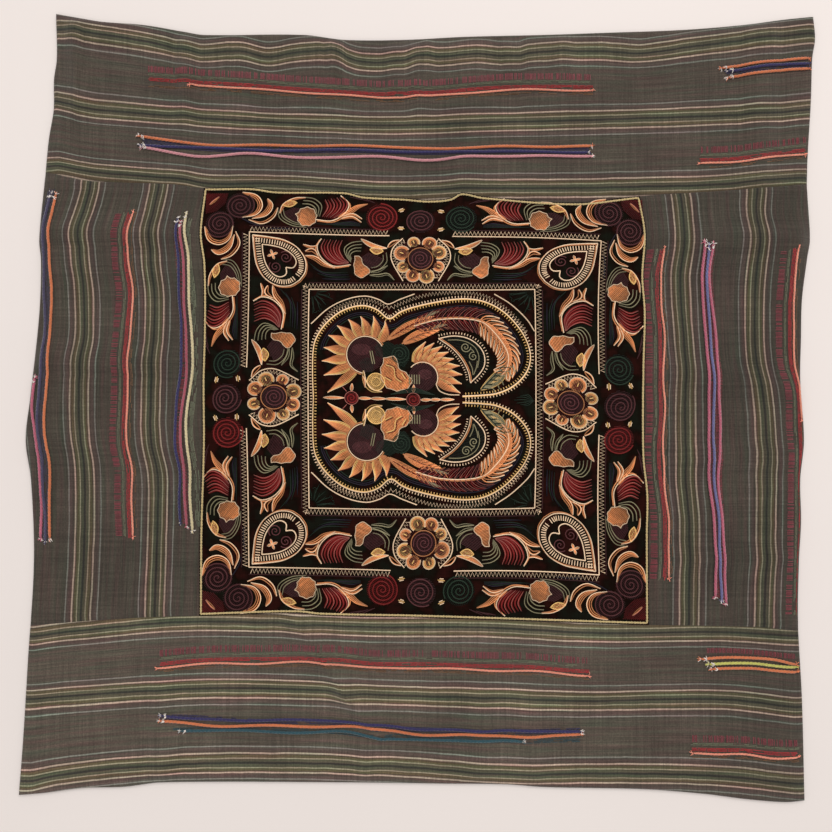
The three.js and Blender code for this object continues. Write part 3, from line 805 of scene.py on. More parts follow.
def keep(piece, slotName, *nodes):
    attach(piece, "root")
    if nodes:
        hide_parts(*nodes)


def declareSheet(piece, node, slotName):
    keep(piece, slotName, node)


def sheetPoints(plan, step):
    grid = gridBetween(*plan["rails"], plan["corners"], step, plan["rows"])
    return grid, grid[..., 0], grid[..., 1]


def makeBack():
    grid, x, y = sheetPoints(backSheet, sheetGrid["backStep"])
    top = clothLayers["backTop"]
    under = (top - clothLayers["edgeThickness"]) * (1 - edgeRounding(x, y))
    piece = closedSheet("plain_back", grid, under, np.full_like(under, top))
    piece.data.materials.append(backFinish())
    declareSheet(piece, "back_panel", "back_cloth")


def makeStrip(node, strip, finish):
    grid, x, y = sheetPoints(strip, sheetGrid["step"])
    piece = closedSheet(node + "_cloth", grid, underLevel(x, y, False), topLevel(x, y))
    layWeaveMap(piece, strip["guides"], node in ("border_left", "border_right"), stripedCloth["pitch"])
    # The strip's cloth colour is scaled by a brightness that changes along x, from the strip's first value
    # to its second.
    brightnessColumn = piece.data.attributes.new("stripBrightness", "FLOAT", "POINT")
    reach = (stripedCloth["brightnessFrom"] * mm, stripedCloth["brightnessTo"] * mm)
    values = np.interp(pointsOf(piece.data)[:, 0], reach, strip["stripBrightness"])
    brightnessColumn.data.foreach_set("value", values.astype(np.float32))
    piece.data.materials.append(finish)
    declareSheet(piece, node, "striped_cloth")


def makePanel():
    grid, x, y = sheetPoints(centrePanel, sheetGrid["step"])
    piece = closedSheet("centre_panel_cloth", grid, underLevel(x, y, True), topLevel(x, y, True))
    piece.data.materials.append(panelFinish())
    declareSheet(piece, "centre_panel", "embroidered_cloth")


def makeSheets():
    woven = wovenFinish()
    makeBack()
    for node, strip in strips.items():
        makeStrip(node, strip, woven)
    makePanel()


makeSheets()
print("sheets are laid")

# Threads: one node tree turns lines of points into round or flattened threads.

threadColours = {
    "cream": (254, 220, 182),
    "tan": (230, 150, 92),
    "ochre": (221, 178, 108),
    # rose: for outlines, and for thin lines laid on red ribs and barbs as painted highlight
    "rose": (178, 100, 88),
    "red": (122, 34, 32),
    "plum": (74, 40, 41),
    "green": (26, 37, 27),
    "olive": (136, 128, 96),
    "navy": (33, 27, 38),
}
yarnColours = {
    "orange": (214, 122, 78),
    "coral": (236, 150, 124),
    "navy": (50, 44, 92),
    "pink": (192, 102, 122),
    "blush": (212, 146, 152),
    "red": (170, 84, 98),
    "green": (218, 202, 160),
    "lime": (202, 200, 104),
    "blue": (110, 110, 154),
    "teal": (44, 82, 92),
    "slate": (74, 68, 94),
    # pale: the hairs at the grouped yarns' ends, partly frayed fibre and partly painted highlight
    "pale": (230, 222, 214),
}
bandColours = {
    "red": (170, 44, 48),
    "magenta": (134, 56, 64),
    "moss": (108, 112, 88),
    "umber": (116, 82, 54),
    "navy": (52, 46, 82),
    "teal": (48, 72, 78),
    "slate": (70, 64, 82),
}


def threadTree():
    tree = bpy.data.node_groups.new("threadsOnCloth", "GeometryNodeTree")
    face = tree.interface
    face.new_socket("Lines", in_out="INPUT", socket_type="NodeSocketGeometry")
    face.new_socket("Sides", in_out="INPUT", socket_type="NodeSocketInt")
    face.new_socket("Flatness", in_out="INPUT", socket_type="NodeSocketFloat")
    face.new_socket("Finish", in_out="INPUT", socket_type="NodeSocketMaterial")
    face.new_socket("Threads", in_out="OUTPUT", socket_type="NodeSocketGeometry")
    given = addNode(tree, "NodeGroupInput").outputs
    curve = addNode(tree, "GeometryNodeMeshToCurve", {"Mesh": given["Lines"]}).outputs[0]
    upright = addNode(tree, "GeometryNodeSetCurveNormal", {"Curve": curve}, mode="Z_UP").outputs[0]
    circle = {"Resolution": given["Sides"], "Radius": 1.0}
    ring = addNode(tree, "GeometryNodeCurvePrimitiveCircle", circle).outputs[0]
    squash = addNode(tree, "ShaderNodeCombineXYZ", {"X": given["Flatness"], "Y": 1.0, "Z": 1.0}).outputs[0]
    section = addNode(tree, "GeometryNodeTransform", {"Geometry": ring, "Scale": squash}).outputs[0]
    girth = addNode(tree, "GeometryNodeInputNamedAttribute", {"Name": "girth"}).outputs[0]
    tube = addNode(
        tree, "GeometryNodeCurveToMesh",
        {"Curve": upright, "Profile Curve": section, "Scale": girth, "Fill Caps": True},
    ).outputs[0]
    smooth = addNode(tree, "GeometryNodeSetShadeSmooth", {"Geometry": tube}).outputs[0]
    real = addNode(tree, "GeometryNodeRealizeInstances", {"Geometry": smooth}).outputs[0]
    dyed = addNode(tree, "GeometryNodeSetMaterial", {"Geometry": real, "Material": given["Finish"]})
    addNode(tree, "NodeGroupOutput", {"Threads": dyed.outputs[0]})
    return tree


threads = threadTree()
threadInputs = {
    item.name: item.identifier for item in threads.interface.items_tree if item.in_out == "INPUT"
}
threadFibres = {"driftScale": 60.0, "driftShare": 0.6, "bumpDepth": 0.2, "bumpStrength": 0.6}
threadKinds = {
    "Yarn": {"spread": 0.3, "roughness": 0.8, "sheen": 0.4, "grain": 1100.0},
    "Band": {"spread": 0.3, "roughness": 0.85, "sheen": 0.3, "grain": 1100.0},
    "Cord": {"spread": 0.25, "roughness": 0.75, "sheen": 0.3, "grain": 900.0},
    "Thread": {"spread": 0.22, "roughness": 0.42, "sheen": 0.0, "grain": 700.0},
}


def spinThreads(name, lines, finish, sides=4, flatness=1.0):
    counts = np.array([len(points) for points, _, _ in lines])
    points = np.concatenate([p for p, _, _ in lines]) * mm
    girths = np.concatenate([np.broadcast_to(g, len(p)) for p, g, _ in lines]) * mm
    tones = np.concatenate([np.broadcast_to(t, len(p)) for p, _, t in lines])
    starts = np.repeat(np.cumsum(counts) - counts, counts - 1)
    steps = np.concatenate([np.arange(n - 1) for n in counts])
    first = starts + steps
    edges = np.stack([first, first + 1], -1)
    routes = bpy.data.meshes.new(name + "_routes")
    routes.from_pydata(points, edges.tolist(), [])
    for title, values in (("girth", girths), ("tone", tones)):
        column = routes.attributes.new(title, "FLOAT", "POINT")
        column.data.foreach_set("value", values.astype(np.float32))
    holder = bpy.data.objects.new(name + "_routes", routes)
    scene.collection.objects.link(holder)
    modifier = holder.modifiers.new("threads", "NODES")
    modifier.node_group = threads
    modifier[threadInputs["Sides"]] = sides
    modifier[threadInputs["Flatness"]] = flatness
    modifier[threadInputs["Finish"]] = finish
    depsgraph = bpy.context.evaluated_depsgraph_get()
    made = bpy.data.meshes.new_from_object(holder.evaluated_get(depsgraph))
    made.name = name
    holder.modifiers.remove(modifier)
    bpy.data.objects.remove(holder)
    bpy.data.meshes.remove(routes)
    piece = bpy.data.objects.new(name, made)
    scene.collection.objects.link(piece)
    return piece


def threadFinish(tint, kind, colour):
    look = {**threadFibres, **threadKinds[kind]}
    finish, tree, shader = newFinish(tint + kind, look["roughness"], look["sheen"])
    place = objectPlace(tree)
    fuzz = noise(tree, place, look["grain"], 2)
    drift = noise(tree, place, look["driftScale"], 2)
    spread = look["spread"]
    slow = spread * look["driftShare"]
    tone = addNode(tree, "ShaderNodeAttribute", attribute_name="tone").outputs["Fac"]
    dyed = shaded(tree, linear(colour)[:3], fuzz, 1 - spread, 1 + spread)
    dyed = shaded(tree, dyed, drift, 1 - slow, 1 + slow)
    tree.links.new(scaled(tree, dyed, tone), shader.inputs["Base Color"])
    setBump(tree, shader, fuzz, look["bumpDepth"] * mm, look["bumpStrength"])
    return finish


def travelled(points):
    return np.concatenate([[0], np.cumsum(np.linalg.norm(np.diff(points, axis=0), axis=1))])


def besideRoute(route):
    heading = np.gradient(route, axis=0)
    heading /= np.linalg.norm(heading, axis=1)[:, None]
    return np.stack([heading[:, 1], -heading[:, 0]], -1)


def evenly(points, step):
    points = np.asarray(points, float)
    lengths = travelled(points)
    count = max(2, int(round(lengths[-1] / step)) + 1)
    at = np.linspace(0, lengths[-1], count)
    return np.stack([np.interp(at, lengths, points[:, k]) for k in range(points.shape[1])], -1)


# Loose yarns

yarns = {  # line, from, to, offsets from the line, evenly spaced
    "far_long_coral": ("far", -152, 109, [20.8, 21.2, 20.2, 19.2, 17.8, 18.6, 20.3, 20.4, 19.1]),
    "far_pair_orange": ("far", -185, 108, [-15.1, -17.6, -16.5, -14.7, -14, -15.8, -16.4, -17, -17.4]),
    "far_pair_navy": ("far", -184, 106, [-20.2, -20.8, -18.7, -18.2, -16.7, -18, -19.4, -20, -21.4]),
    "far_pair_pink": ("far", -183, 108, [-22.4, -25.2, -22.4, -22.4, -20.9, -23.2, -22.5, -23, -24.4]),
    "far_short_orange": ("far", 194, 251, [31.8, 32.6, 33, 33.3, 33.4]),
    "far_short_navy": ("far", 198, 251, [29.4, 30.2, 30.6, 30.8, 30.4]),
    "far_short_amber": ("far", 198, 251, [24.9, 26.6, 26.8, 27, 26.6]),
    "far_inner_orange": ("far", 179, 247, [-31.1, -31.2, -30.6, -29.2, -28.8]),
    "left_rim_orange": ("leftOuter", 133, -88, [-20.2, -19, -20.2, -21.6, -20, -21.8, -21.9, -21.9, -21.8]),
    "left_rim_navy": (
        "leftOuter", 134, -90, [-24.8, -23.2, -24.6, -25.6, -24.4, -26.2, -26.3, -25.8, -24.6],
    ),
    "left_rim_pink": ("leftOuter", 14, -88, [-28.4, -29.6, -28, -28.5, -28.3, -27.4, -27]),
    "left_middle_orange": (
        "leftInner", 121, -87, [-12.8, -13.9, -13.6, -15.3, -14.7, -14.5, -15.6, -16.8, -15.2],
    ),
    "left_inner_navy": ("leftInner", 117, -78, [17.2, 18, 15.6, 17.8, 19, 16.4, 15, 13.9, 14.6]),
    "left_inner_red": ("leftInner", 114, -80, [20, 21, 18.6, 21, 22.6, 19.8, 18.2, 17, 18.6]),
    "left_inner_green": ("leftInner", 120, -83, [22.4, 24, 22, 24.6, 25.8, 23.4, 21.8, 20.6, 22.6]),
    "right_inner_orange": (
        "rightInner", 97, -113, [-11.8, -12.9, -12.6, -14.2, -13.2, -14.4, -13.1, -13, -13.4],
    ),
    "right_middle_pink": ("rightInner", 101, -125, [12.6, 13.8, 14, 14, 15, 14.4, 15.4, 16, 16.4]),
    "right_middle_blue": ("rightInner", 99, -127, [15.2, 17, 17, 17, 18.2, 17.4, 18.4, 19.1, 19.8]),
    "right_middle_rose": ("rightInner", 100, -129, [18.4, 18.6, 20.2, 20.2, 22.2, 20.4, 20.8, 21.4, 23.2]),
    "right_rim_coral": ("rightOuter", 98, -12, [25, 25.2, 24.8, 24.7, 24.4, 25.2, 24.2]),
    "near_long_coral": ("near", -168, 103, [14, 15.2, 15.8, 17.4, 16.8, 17.7, 17.2, 17.3, 15.9]),
    "near_pair_navy": ("near", -165, 98, [-15.4, -19.4, -19.5, -18.4, -18, -20.3, -20, -19.7, -18.2]),
    "near_pair_orange": ("near", -166, 98, [-19, -22.6, -23, -22.2, -20.3, -23.4, -23, -22.6, -20.9]),
    "near_pair_teal": ("near", -153, 61, [-25.4, -25.8, -26.6, -26, -24.6, -26.2, -27, -26.2, -26]),
    "near_short_orange": ("near", 175, 235, [24.6, 26, 27.3, 28.1, 26.4]),
    "near_short_lime": ("near", 180, 235, [21.6, 23.5, 24.1, 24.4, 24.6]),
    "near_short_amber": ("near", 182, 235, [18.7, 20, 21.4, 21.6, 22]),
    "near_outer_orange": ("near", 169, 235, [-33.6, -33.6, -32.9, -32.6, -31.2]),
}
yarnSlots = {"amber": "orange", "rose": "pink"}
fadedYarns = {"far_pair_pink": "blush", "left_rim_navy": "slate"}
loneYarns = (
    "far_long_coral", "far_inner_orange", "left_middle_orange", "right_inner_orange", "right_rim_coral",
    "near_long_coral", "near_outer_orange",
)
yarnLook = {
    "radius": {"lone": 0.4, "grouped": 0.56},
    "orbitShare": 0.92,
    "twistPitch": 7,
    "step": 1.6,
    "wander": 0.35,
    "swayShare": (0.3, 1),
    "swayLength": (5, 16),
    "strands": 3,
    "endTaper": 2.5,
    "edgeMargin": 1.6,
    "frayHairs": 7,
    "frayPoints": 5,
    "frayLength": (0.8, 2.8),
    "frayRadius": 0.15,
    "fraySpread": 0.55,
    "frayBend": 0.5,
    "frayArch": (0.2, 1.3),
    "frayMargin": 0.5,
    "frayTone": 1.1,
    "frayTones": (1.0, 1.5),
    "paleLift": 1.8,
    "rimFrom": 200,
}
startTurn = (0, 6.3)  # anywhere in a full turn


def alongLine(line, along, offset):
    across = weave[line](along) + offset
    if line in ("far", "near"):
        return np.stack([along, across], -1)
    margin = yarnLook["edgeMargin"]
    held = np.clip(across, outline["left"](along) + margin, outline["right"](along) - margin)
    return np.stack([held, along], -1)


def yarnRoute(line, start, end, offsets):
    count = int(abs(end - start) / yarnLook["step"]) + 1
    share = np.linspace(0, 1, count)
    offset = curveThrough([(k / (len(offsets) - 1), to) for k, to in enumerate(offsets)])(share)
    along = start + (end - start) * share
    flat = line in ("far", "near")
    along = settled(along, 0)[0] if flat else settled(0, along)[1]
    sway = np.zeros(count)
    for _ in range(3):
        height = draws.uniform(*yarnLook["swayShare"])
        turn = along / draws.uniform(*yarnLook["swayLength"]) + draws.uniform(*startTurn)
        sway += height * np.sin(turn)
    return alongLine(line, along, offset + yarnLook["wander"] * sway)


def twisted(route, radius):
    look = yarnLook
    strands = look["strands"]
    side = besideRoute(route)
    lengths = travelled(route)
    orbit = radius * look["orbitShare"]
    level = topLevel(route[:, 0], route[:, 1]) + (radius + orbit)
    turn = draws.uniform(*startTurn) + 2 * np.pi * lengths / look["twistPitch"]
    toEnd = np.minimum(lengths, lengths[-1] - lengths)
    girth = radius * (0.45 + 0.55 * smoothstep(toEnd, 0, look["endTaper"]))
    lines = []
    for k in range(strands):
        angle = turn + 2 * np.pi * k / strands
        spot = route + side * (orbit * np.cos(angle))[:, None]
        height = level + orbit * np.sin(angle)
        lines.append((np.column_stack([spot, height]), girth, 0.94 + 0.12 * k / strands))
    return lines


def frayedEnd(tip, heading, tone, lift=0.3):
    look = yarnLook
    count = look["frayPoints"]
    share = np.linspace(0, 1, count)
    lines = []
    for _ in range(look["frayHairs"]):
        length = draws.uniform(*look["frayLength"])
        angle = math.atan2(heading[1], heading[0]) + draws.normal(0, look["fraySpread"])
        turn = angle + draws.normal(0, look["frayBend"]) * share
        x = tip[0] + length * np.cumsum(np.cos(turn)) / count
        y = tip[1] + length * np.cumsum(np.sin(turn)) / count
        inside = edgeDistance(x, y) > look["frayMargin"]
        z = topLevel(x, y) + lift + draws.uniform(*look["frayArch"]) * np.sin(np.pi * share)
        if inside.all():
            shade = tone * draws.uniform(*look["frayTones"])
            lines.append((np.column_stack([x, y, z]), look["frayRadius"], shade))
    return lines


def makeYarns(finishes):
    look = yarnLook
    paleHighlightHairs = []
    for name, (line, start, end, offsets) in yarns.items():
        tint = name.split("_")[-1]
        tint = yarnSlots.get(tint, tint)
        route = yarnRoute(line, start, end, offsets)
        lone = name in loneYarns
        lines = twisted(route, look["radius"]["lone" if lone else "grouped"])
        backwards = route[0] - route[2]
        onwards = route[-1] - route[-3]
        lines += frayedEnd(route[0], backwards, look["frayTone"])
        lines += frayedEnd(route[-1], onwards, look["frayTone"])
        # Grouped yarns also get pale, near-white hairs at their starts: partly frayed fibre, partly painted
        # highlight.
        if not lone:
            paleHighlightHairs += frayedEnd(route[0], backwards, 1.0)
            paleHighlightHairs += frayedEnd(route[2], backwards, 1.0, look["paleLift"])
            if abs(end) < look["rimFrom"]:
                paleHighlightHairs += frayedEnd(route[-1], onwards, 1.0)
        dye = "coral" if lone else fadedYarns.get(name, tint)
        piece = spinThreads("loose_" + name, lines, finishes[dye])
        keep(piece, tint + "_yarn", "yarn_" + name)
    # The pale hairs, frayed fibre with painted highlight, go into one piece.
    keep(spinThreads("frayed_end_highlights", paleHighlightHairs, finishes["pale"]), "coral_yarn")


# Flush woven bands. A lone yarn has four of them beside it. Magenta lies in short floats across.

loneBands = [  # distance from the yarn, width, dye, share covered
    (2.3, 2.2, "red", 0.93),
    (5.5, 1.3, "moss", 0.9),
    (9.1, 4.2, "magenta", 0.72),
    (-2, 1.7, "umber", 0.6),
]
loneRows = {  # side of the yarn that they lie on, from, to
    "far_long_coral": (1, -181, 110),
    "far_inner_orange": (1, 178, 249),
    "left_middle_orange": (-1, 122, -88),
    "right_inner_orange": (-1, 98, -115),
    "right_rim_coral": (-1, 98, -137),
    "near_long_coral": (1, -168, 104),
    "near_outer_orange": (1, 167, 236),
}
groupBands = [  # line, from, to, offsets from the line, width, dye, share covered
    ("far", -184, 107, [-18.6, -19.8, -18, -16.4, -18.2, -18.8, -19.6], 4, "navy", 0.9),
    ("far", 196, 251, [28.6, 29, 29], 3.2, "navy", 0.8),
    ("leftOuter", 138, -90, [-25, -23.4, -24.2, -24.4, -25.8, -24.6], 4.8, "slate", 0.85),
    ("leftInner", 117, -80, [18.2, 17.4, 20, 17.2, 17.4], 3.2, "magenta", 0.9),
    ("leftInner", 119, -83, [25.6, 25, 28, 25, 25.4], 3.6, "moss", 0.7),
    ("rightInner", 101, -127, [13.6, 16, 17, 17.6, 17, 18], 3.2, "magenta", 0.9),
    ("rightInner", 101, -129, [18, 19.6, 20.8, 21.4, 20.4, 22], 4, "magenta", 0.9),
    ("near", -165, 98, [-16.2, -20.2, -19.6, -20.6, -20.6, -18.2], 3.2, "navy", 0.8),
    ("near", -160, 98, [-24.6, -25.8, -25.6, -24.8, -26.6, -24.2], 2.4, "teal", 0.8),
    ("near", 178, 236, [30, 31, 31.4], 3.2, "magenta", 0.9),
]
bandLook = {
    "pitch": 0.8,
    "crossed": "magenta",
    "crossPitch": 0.85,
    "crossReach": (0.85, 1.05),
    "crossShift": 0.15,
    "girth": 0.4,
    "lift": 0.14,
    "bow": (-0.2, 0.06, 0.06, -0.2),
    "dash": (2, 7),
    "gap": (0.2, 0.6),
    "wearLength": 17,
    "wear": 0.14,
    "tones": (0.75, 1.15),
    "flatness": 0.7,
}


def bandSpots(length, width, cross):
    look = bandLook
    if cross:
        for at in np.arange(1, length - 1, look["crossPitch"]):
            reach = width / 2 * draws.uniform(*look["crossReach"])
            shift = draws.uniform(-look["crossShift"], look["crossShift"])
            yield np.full(4, at + shift), np.linspace(-reach, reach, 4)
        return
    for row in range(round(width / look["pitch"])):
        beside = (row + 0.5) * look["pitch"] - width / 2
        at = draws.uniform(0, 2)
        while at < length - 2:
            dash = min(draws.uniform(*look["dash"]), length - at)
            yield np.linspace(at, at + dash, 4), np.full(4, beside)
            at += dash + draws.uniform(*look["gap"])


def weaveBand(line, start, end, offset, width, tint, cover):
    look = bandLook
    length = abs(end - start)
    rows = []
    for at, beside in bandSpots(length, width, tint == look["crossed"]):
        kept = 0.5 + 0.5 * math.sin(at[0] / look["wearLength"] + start)
        if draws.random() > cover + look["wear"] * kept:
            continue
        along = start + (end - start) * at / length
        beside = offset(along) + beside
        along = settled(along, 0)[0] if line in ("far", "near") else settled(0, along)[1]
        spots = alongLine(line, along, beside)
        level = topLevel(spots[:, 0], spots[:, 1]) + look["lift"] + np.array(look["bow"])
        rows.append((np.column_stack([spots, level]), look["girth"], draws.uniform(*look["tones"])))
    return rows


def offsetAlong(start, end, offsets, shift=0.0):
    shares = np.linspace(0, 1, len(offsets))
    read = curveThrough(list(zip(shares, offsets)))
    return lambda along: read((along - start) / (end - start)) + shift


def makeBands():
    bands = {}

    def add(line, start, end, offset, width, tint, cover):
        bands.setdefault(tint, []).extend(weaveBand(line, start, end, offset, width, tint, cover))

    for name, (side, start, end) in loneRows.items():
        line, first, last, offsets = yarns[name]
        for away, width, tint, cover in loneBands:
            offset = offsetAlong(first, last, offsets, side * away)
            add(line, start, end, offset, width, tint, cover)
    for line, start, end, offsets, width, tint, cover in groupBands:
        add(line, start, end, offsetAlong(start, end, offsets), width, tint, cover)
    for tint, rows in bands.items():
        finish = threadFinish(tint, "Band", bandColours[tint])
        piece = spinThreads("woven_band_" + tint, rows, finish, flatness=bandLook["flatness"])
        keep(piece, "striped_cloth")


makeYarns({tint: threadFinish(tint, "Yarn", rgb) for tint, rgb in yarnColours.items()})
makeBands()
print("loose yarns and woven bands are laid")

# Pale twisted cord round the panel

cordLook = {
    "inset": 1.3,
    "strandRadius": 0.46,
    "orbit": 0.36,
    "pitch": 3.6,
    "step": 1.1,
    "sides": 5,
    "pointsPerSide": 260,
    "colour": (206, 182, 128),
}


def panelRing(inset, step):
    nearLeft = np.array(panelCorner["near", "left"]) + inset
    nearRight = np.array(panelCorner["near", "right"]) + (-inset, inset)
    farRight = np.array(panelCorner["far", "right"]) - inset
    farLeft = np.array(panelCorner["far", "left"]) + (inset, -inset)
    share = np.linspace(0, 1, cordLook["pointsPerSide"])[:-1]
    near = acrossRail(seam["near"], nearLeft, nearRight, share) + (0, inset)
    right = uprightRail(seam["right"], nearRight, farRight, share) - (inset, 0)
    far = acrossRail(seam["far"], farRight, farLeft, share) - (0, inset)
    left = uprightRail(seam["left"], farLeft, nearLeft, share) + (inset, 0)
    return evenly(np.concatenate([near, right, far, left, near[:1]]), step)


def makeCord():
    look = cordLook
    route = panelRing(look["inset"], look["step"])
    side = besideRoute(route)
    lengths = np.arange(len(route)) * look["step"]
    turns = round(lengths[-1] / look["pitch"])
    level = topLevel(route[:, 0], route[:, 1], True) + look["strandRadius"]
    lines = []
    for k in range(2):
        angle = 2 * np.pi * (turns * lengths / lengths[-1] + k / 2)
        spot = route + side * (look["orbit"] * np.cos(angle))[:, None]
        height = level + look["orbit"] * (0.5 + 0.5 * np.sin(angle))
        lines.append((np.column_stack([spot, height]), look["strandRadius"], 1.0 - 0.15 * k))
    finish = threadFinish("pale", "Cord", look["colour"])
    piece = spinThreads("pale_cord", lines, finish, look["sides"])
    keep(piece, "edging_cord", "panel_edging")


makeCord()
print("edging cord is laid")

# Embroidery. The design is drawn on a square, eight ways alike where it repeats, and laid on the real
# panel. Places below are millimetres from the panel's middle on that square.

design = {
    "frame": 107.5,
    "frameGap": 19.5,
    "zigzag": 3.7,
    "innerFrame": 70.3,
    "innerZigzag": 3.8,
    "rosette": 91,
}
panelMiddle = (-1.6, -1.3)
laidAt = [  # a point of the square design, and where the uneven panel has it
    (-137, 137, -142.1, 137.2), (137, 137, 144.7, 133.2), (137, -137, 144.6, -140.4),
    (-137, -137, -142.2, -136.7), (-107.5, 107.5, -111.7, 110.3), (107.5, 107.5, 115.9, 104.4),
    (107.5, -107.5, 112.5, -110.2), (-107.5, -107.5, -110.1, -105.2), (-70.3, 70.3, -72.9, 72.8),
    (70.3, 70.3, 72.7, 72.8), (70.3, -70.3, 71.8, -67.8), (-70.3, -70.3, -72.1, -67.8),
    (0, 91, -1.1, 92.8), (-91, 0, -94.9, 3.3), (91, 0, 95, -0.6), (0, -91, 1.2, -90),
    (0, 119, -1.1, 118), (-119, 0, -126.3, 2.4), (119, 0, 127.5, -4), (0, -119, -1.3, -120.5),
    (0, 137, 0, 132), (-137, 0, -141.6, 1.3), (137, 0, 143.2, 0), (0, -137, 0, -137.4), (0, 0, 0, 1.3),
]


def layingRule():
    table = np.array(laidAt, float)
    known, real = table[:, :2], table[:, 2:]
    count = len(known)
    apart = np.linalg.norm(known[:, None] - known[None], axis=2)
    flat = np.column_stack([np.ones(count), known])
    system = np.block([[apart, flat], [flat.T, np.zeros((3, 3))]])
    weights = np.linalg.solve(system, np.concatenate([real, np.zeros((3, 2))]))

    def laid(points):
        away = np.linalg.norm(points[:, None] - known[None], axis=2)
        spots = np.column_stack([away, np.ones(len(points)), points]) @ weights + panelMiddle
        return np.stack(settled(*spots.T), -1)

    return laid


laid = layingRule()
needlework = {tint: [] for tint in threadColours}
threadLook = {
    "girth": 0.46,
    "step": 1.3,
    "bendStep": 0.8,
    "circlePoints": 36,
    "satinPitch": 0.85,
    "satinGirth": 0.45,
    "satinLift": 0.12,
    "shortest": 0.6,
    "lineLift": 0.42,
    "flatness": 0.8,
    "unevenness": 0.2,
    "tones": (0.88, 1.12),
    "glossFrom": 130,
    "gloss": 0.45,
    "dullness": 0.16,
}


def stitch(put, tint, points, girth=None, lift=None, tone=1.0, raw=False, taper=False):
    points = put(np.asarray(points, float))
    if not raw:
        points = evenly(points, threadLook["step"])
    girth = threadLook["girth"] if girth is None else girth
    lift = threadLook["lineLift"] if lift is None else lift
    share = np.linspace(0, 1, len(points))
    if np.ndim(tone):
        tone = np.interp(share, np.linspace(0, 1, len(tone)), tone)
    if taper:
        girth = girth * (0.35 + 0.65 * np.sin(np.pi * (0.05 + 0.9 * share)) ** 0.7)
    needlework[tint].append((points, girth, lift, tone * draws.uniform(*threadLook["tones"])))


def placed(at=(0, 0), angle=0.0, flip=1, parent=None):
    turn = math.radians(angle)
    c = math.cos(turn)
    s = math.sin(turn)

    def put(points):
        x, y = points[:, 0] * flip, points[:, 1]
        moved = np.stack([x * c - y * s + at[0], x * s + y * c + at[1]], -1)
        return parent(moved) if parent else moved

    return put


def bend(points):
    points = np.asarray(points, float)
    lengths = travelled(points)
    at = np.linspace(0, lengths[-1], max(4, int(lengths[-1] / threadLook["bendStep"])))
    return np.stack([curveThrough(np.column_stack([lengths, points[:, k]]))(at) for k in (0, 1)], -1)


def between(first, last, count):
    ends = [bend(first), bend(last)]
    share = np.linspace(0, 1, max(len(end) for end in ends))
    rails = []
    for end in ends:
        own = np.linspace(0, 1, len(end))
        rails.append(np.stack([np.interp(share, own, end[:, k]) for k in (0, 1)], -1))
    return [rails[0] * (1 - m) + rails[1] * m for m in np.linspace(0, 1, count)]


def satin(put, tint, ring, slant=0.0, tone=0.9, pitch=None, lift=None):
    pitch = pitch or threadLook["satinPitch"]
    lift = threadLook["satinLift"] if lift is None else lift
    turn = math.radians(slant)
    axes = np.array([[math.cos(turn), -math.sin(turn)], [math.sin(turn), math.cos(turn)]])
    ring = np.asarray(ring, float) @ axes
    u1, v1 = ring.T
    u2, v2 = np.roll(ring, -1, 0).T
    levels = np.arange(v1.min() + pitch / 2, v1.max(), pitch)
    tones = np.interp(np.linspace(0, 1, len(levels)), (0, 1), tone if np.ndim(tone) else (tone, tone))
    for v, level in zip(levels, tones):
        hit = (v1 - v) * (v2 - v) < 0
        crossings = np.sort(u1[hit] + (v - v1[hit]) / (v2[hit] - v1[hit]) * (u2[hit] - u1[hit]))
        for a, b in zip(crossings[::2], crossings[1::2]):
            if b - a > threadLook["shortest"]:
                count = max(2, int((b - a) / 2.5) + 2)
                line = np.column_stack([np.linspace(a, b, count), np.full(count, v)])
                uneven = level * (1 + draws.uniform(-1, 1, count) * threadLook["unevenness"])
                stitch(put, tint, line @ axes.T, threadLook["satinGirth"], lift, uneven, raw=True)


def circle(at, radius, squash=1.0):
    turn = np.linspace(0, 2 * np.pi, threadLook["circlePoints"] + 1)[:-1]
    return np.column_stack([at[0] + radius * np.cos(turn), at[1] + radius * squash * np.sin(turn)])


def towards(turn):
    return np.array([math.cos(turn), math.sin(turn)])


def leftOf(ahead):
    return np.array([-ahead[1], ahead[0]])


def headingFrom(base, tip):
    ahead = np.subtract(tip, base)
    length = np.linalg.norm(ahead)
    return ahead / length, leftOf(ahead / length), length


def closed(ring):
    return np.concatenate([ring, ring[:1]])


def spiral(put, tint, at, radius, pitch=2.45, spin=1, begin=0.0, girth=0.55, tone=1.0, ground=None):
    turns = radius / pitch
    angle = np.linspace(0.9, 2 * np.pi * turns, int(26 * turns))
    reach = pitch * angle / (2 * np.pi)
    turn = spin * angle + begin
    if ground:
        satin(put, tint, circle(at, radius - 0.2), math.degrees(begin), ground, 1.0, 0.02)
    points = np.column_stack([at[0] + reach * np.cos(turn), at[1] + reach * np.sin(turn)])
    stitch(put, tint, points, girth, tone=tone)


def alongRoute(points):
    dense = evenly(points, 0.5)
    heading = np.gradient(dense, axis=0)
    heading /= np.linalg.norm(heading, axis=1)[:, None] + 1e-9
    normal = np.stack([-heading[:, 1], heading[:, 0]], -1)
    lengths = np.arange(len(dense)) * np.linalg.norm(dense[1] - dense[0])

    def at(distance, out):
        spot = []
        for k in (0, 1):
            onRoute = np.interp(distance, lengths, dense[:, k])
            spot.append(onRoute + out * np.interp(distance, lengths, normal[:, k]))
        return np.stack(spot, -1)

    return at, lengths[-1]


def teeth(put, tint, route, pitch, inner, outer, girth=0.34, tone=0.9):
    at, length = alongRoute(route)
    count = int(length / pitch)
    distance = ((np.arange(count)[:, None] + np.array([0.25, 0.75])) * pitch).ravel()
    out = np.tile(np.array([inner, outer], float), count)
    stitch(put, tint, at(distance, out), girth, tone=tone, raw=True)


def ticks(put, tint, route, pitch, inner, outer, girth=0.36, tone=0.95):
    at, length = alongRoute(route)
    for k in range(int(length / pitch)):
        spot = np.array([k + 0.5] * 2) * pitch
        stitch(put, tint, at(spot, np.array([inner, outer])), girth, tone=tone, raw=True)


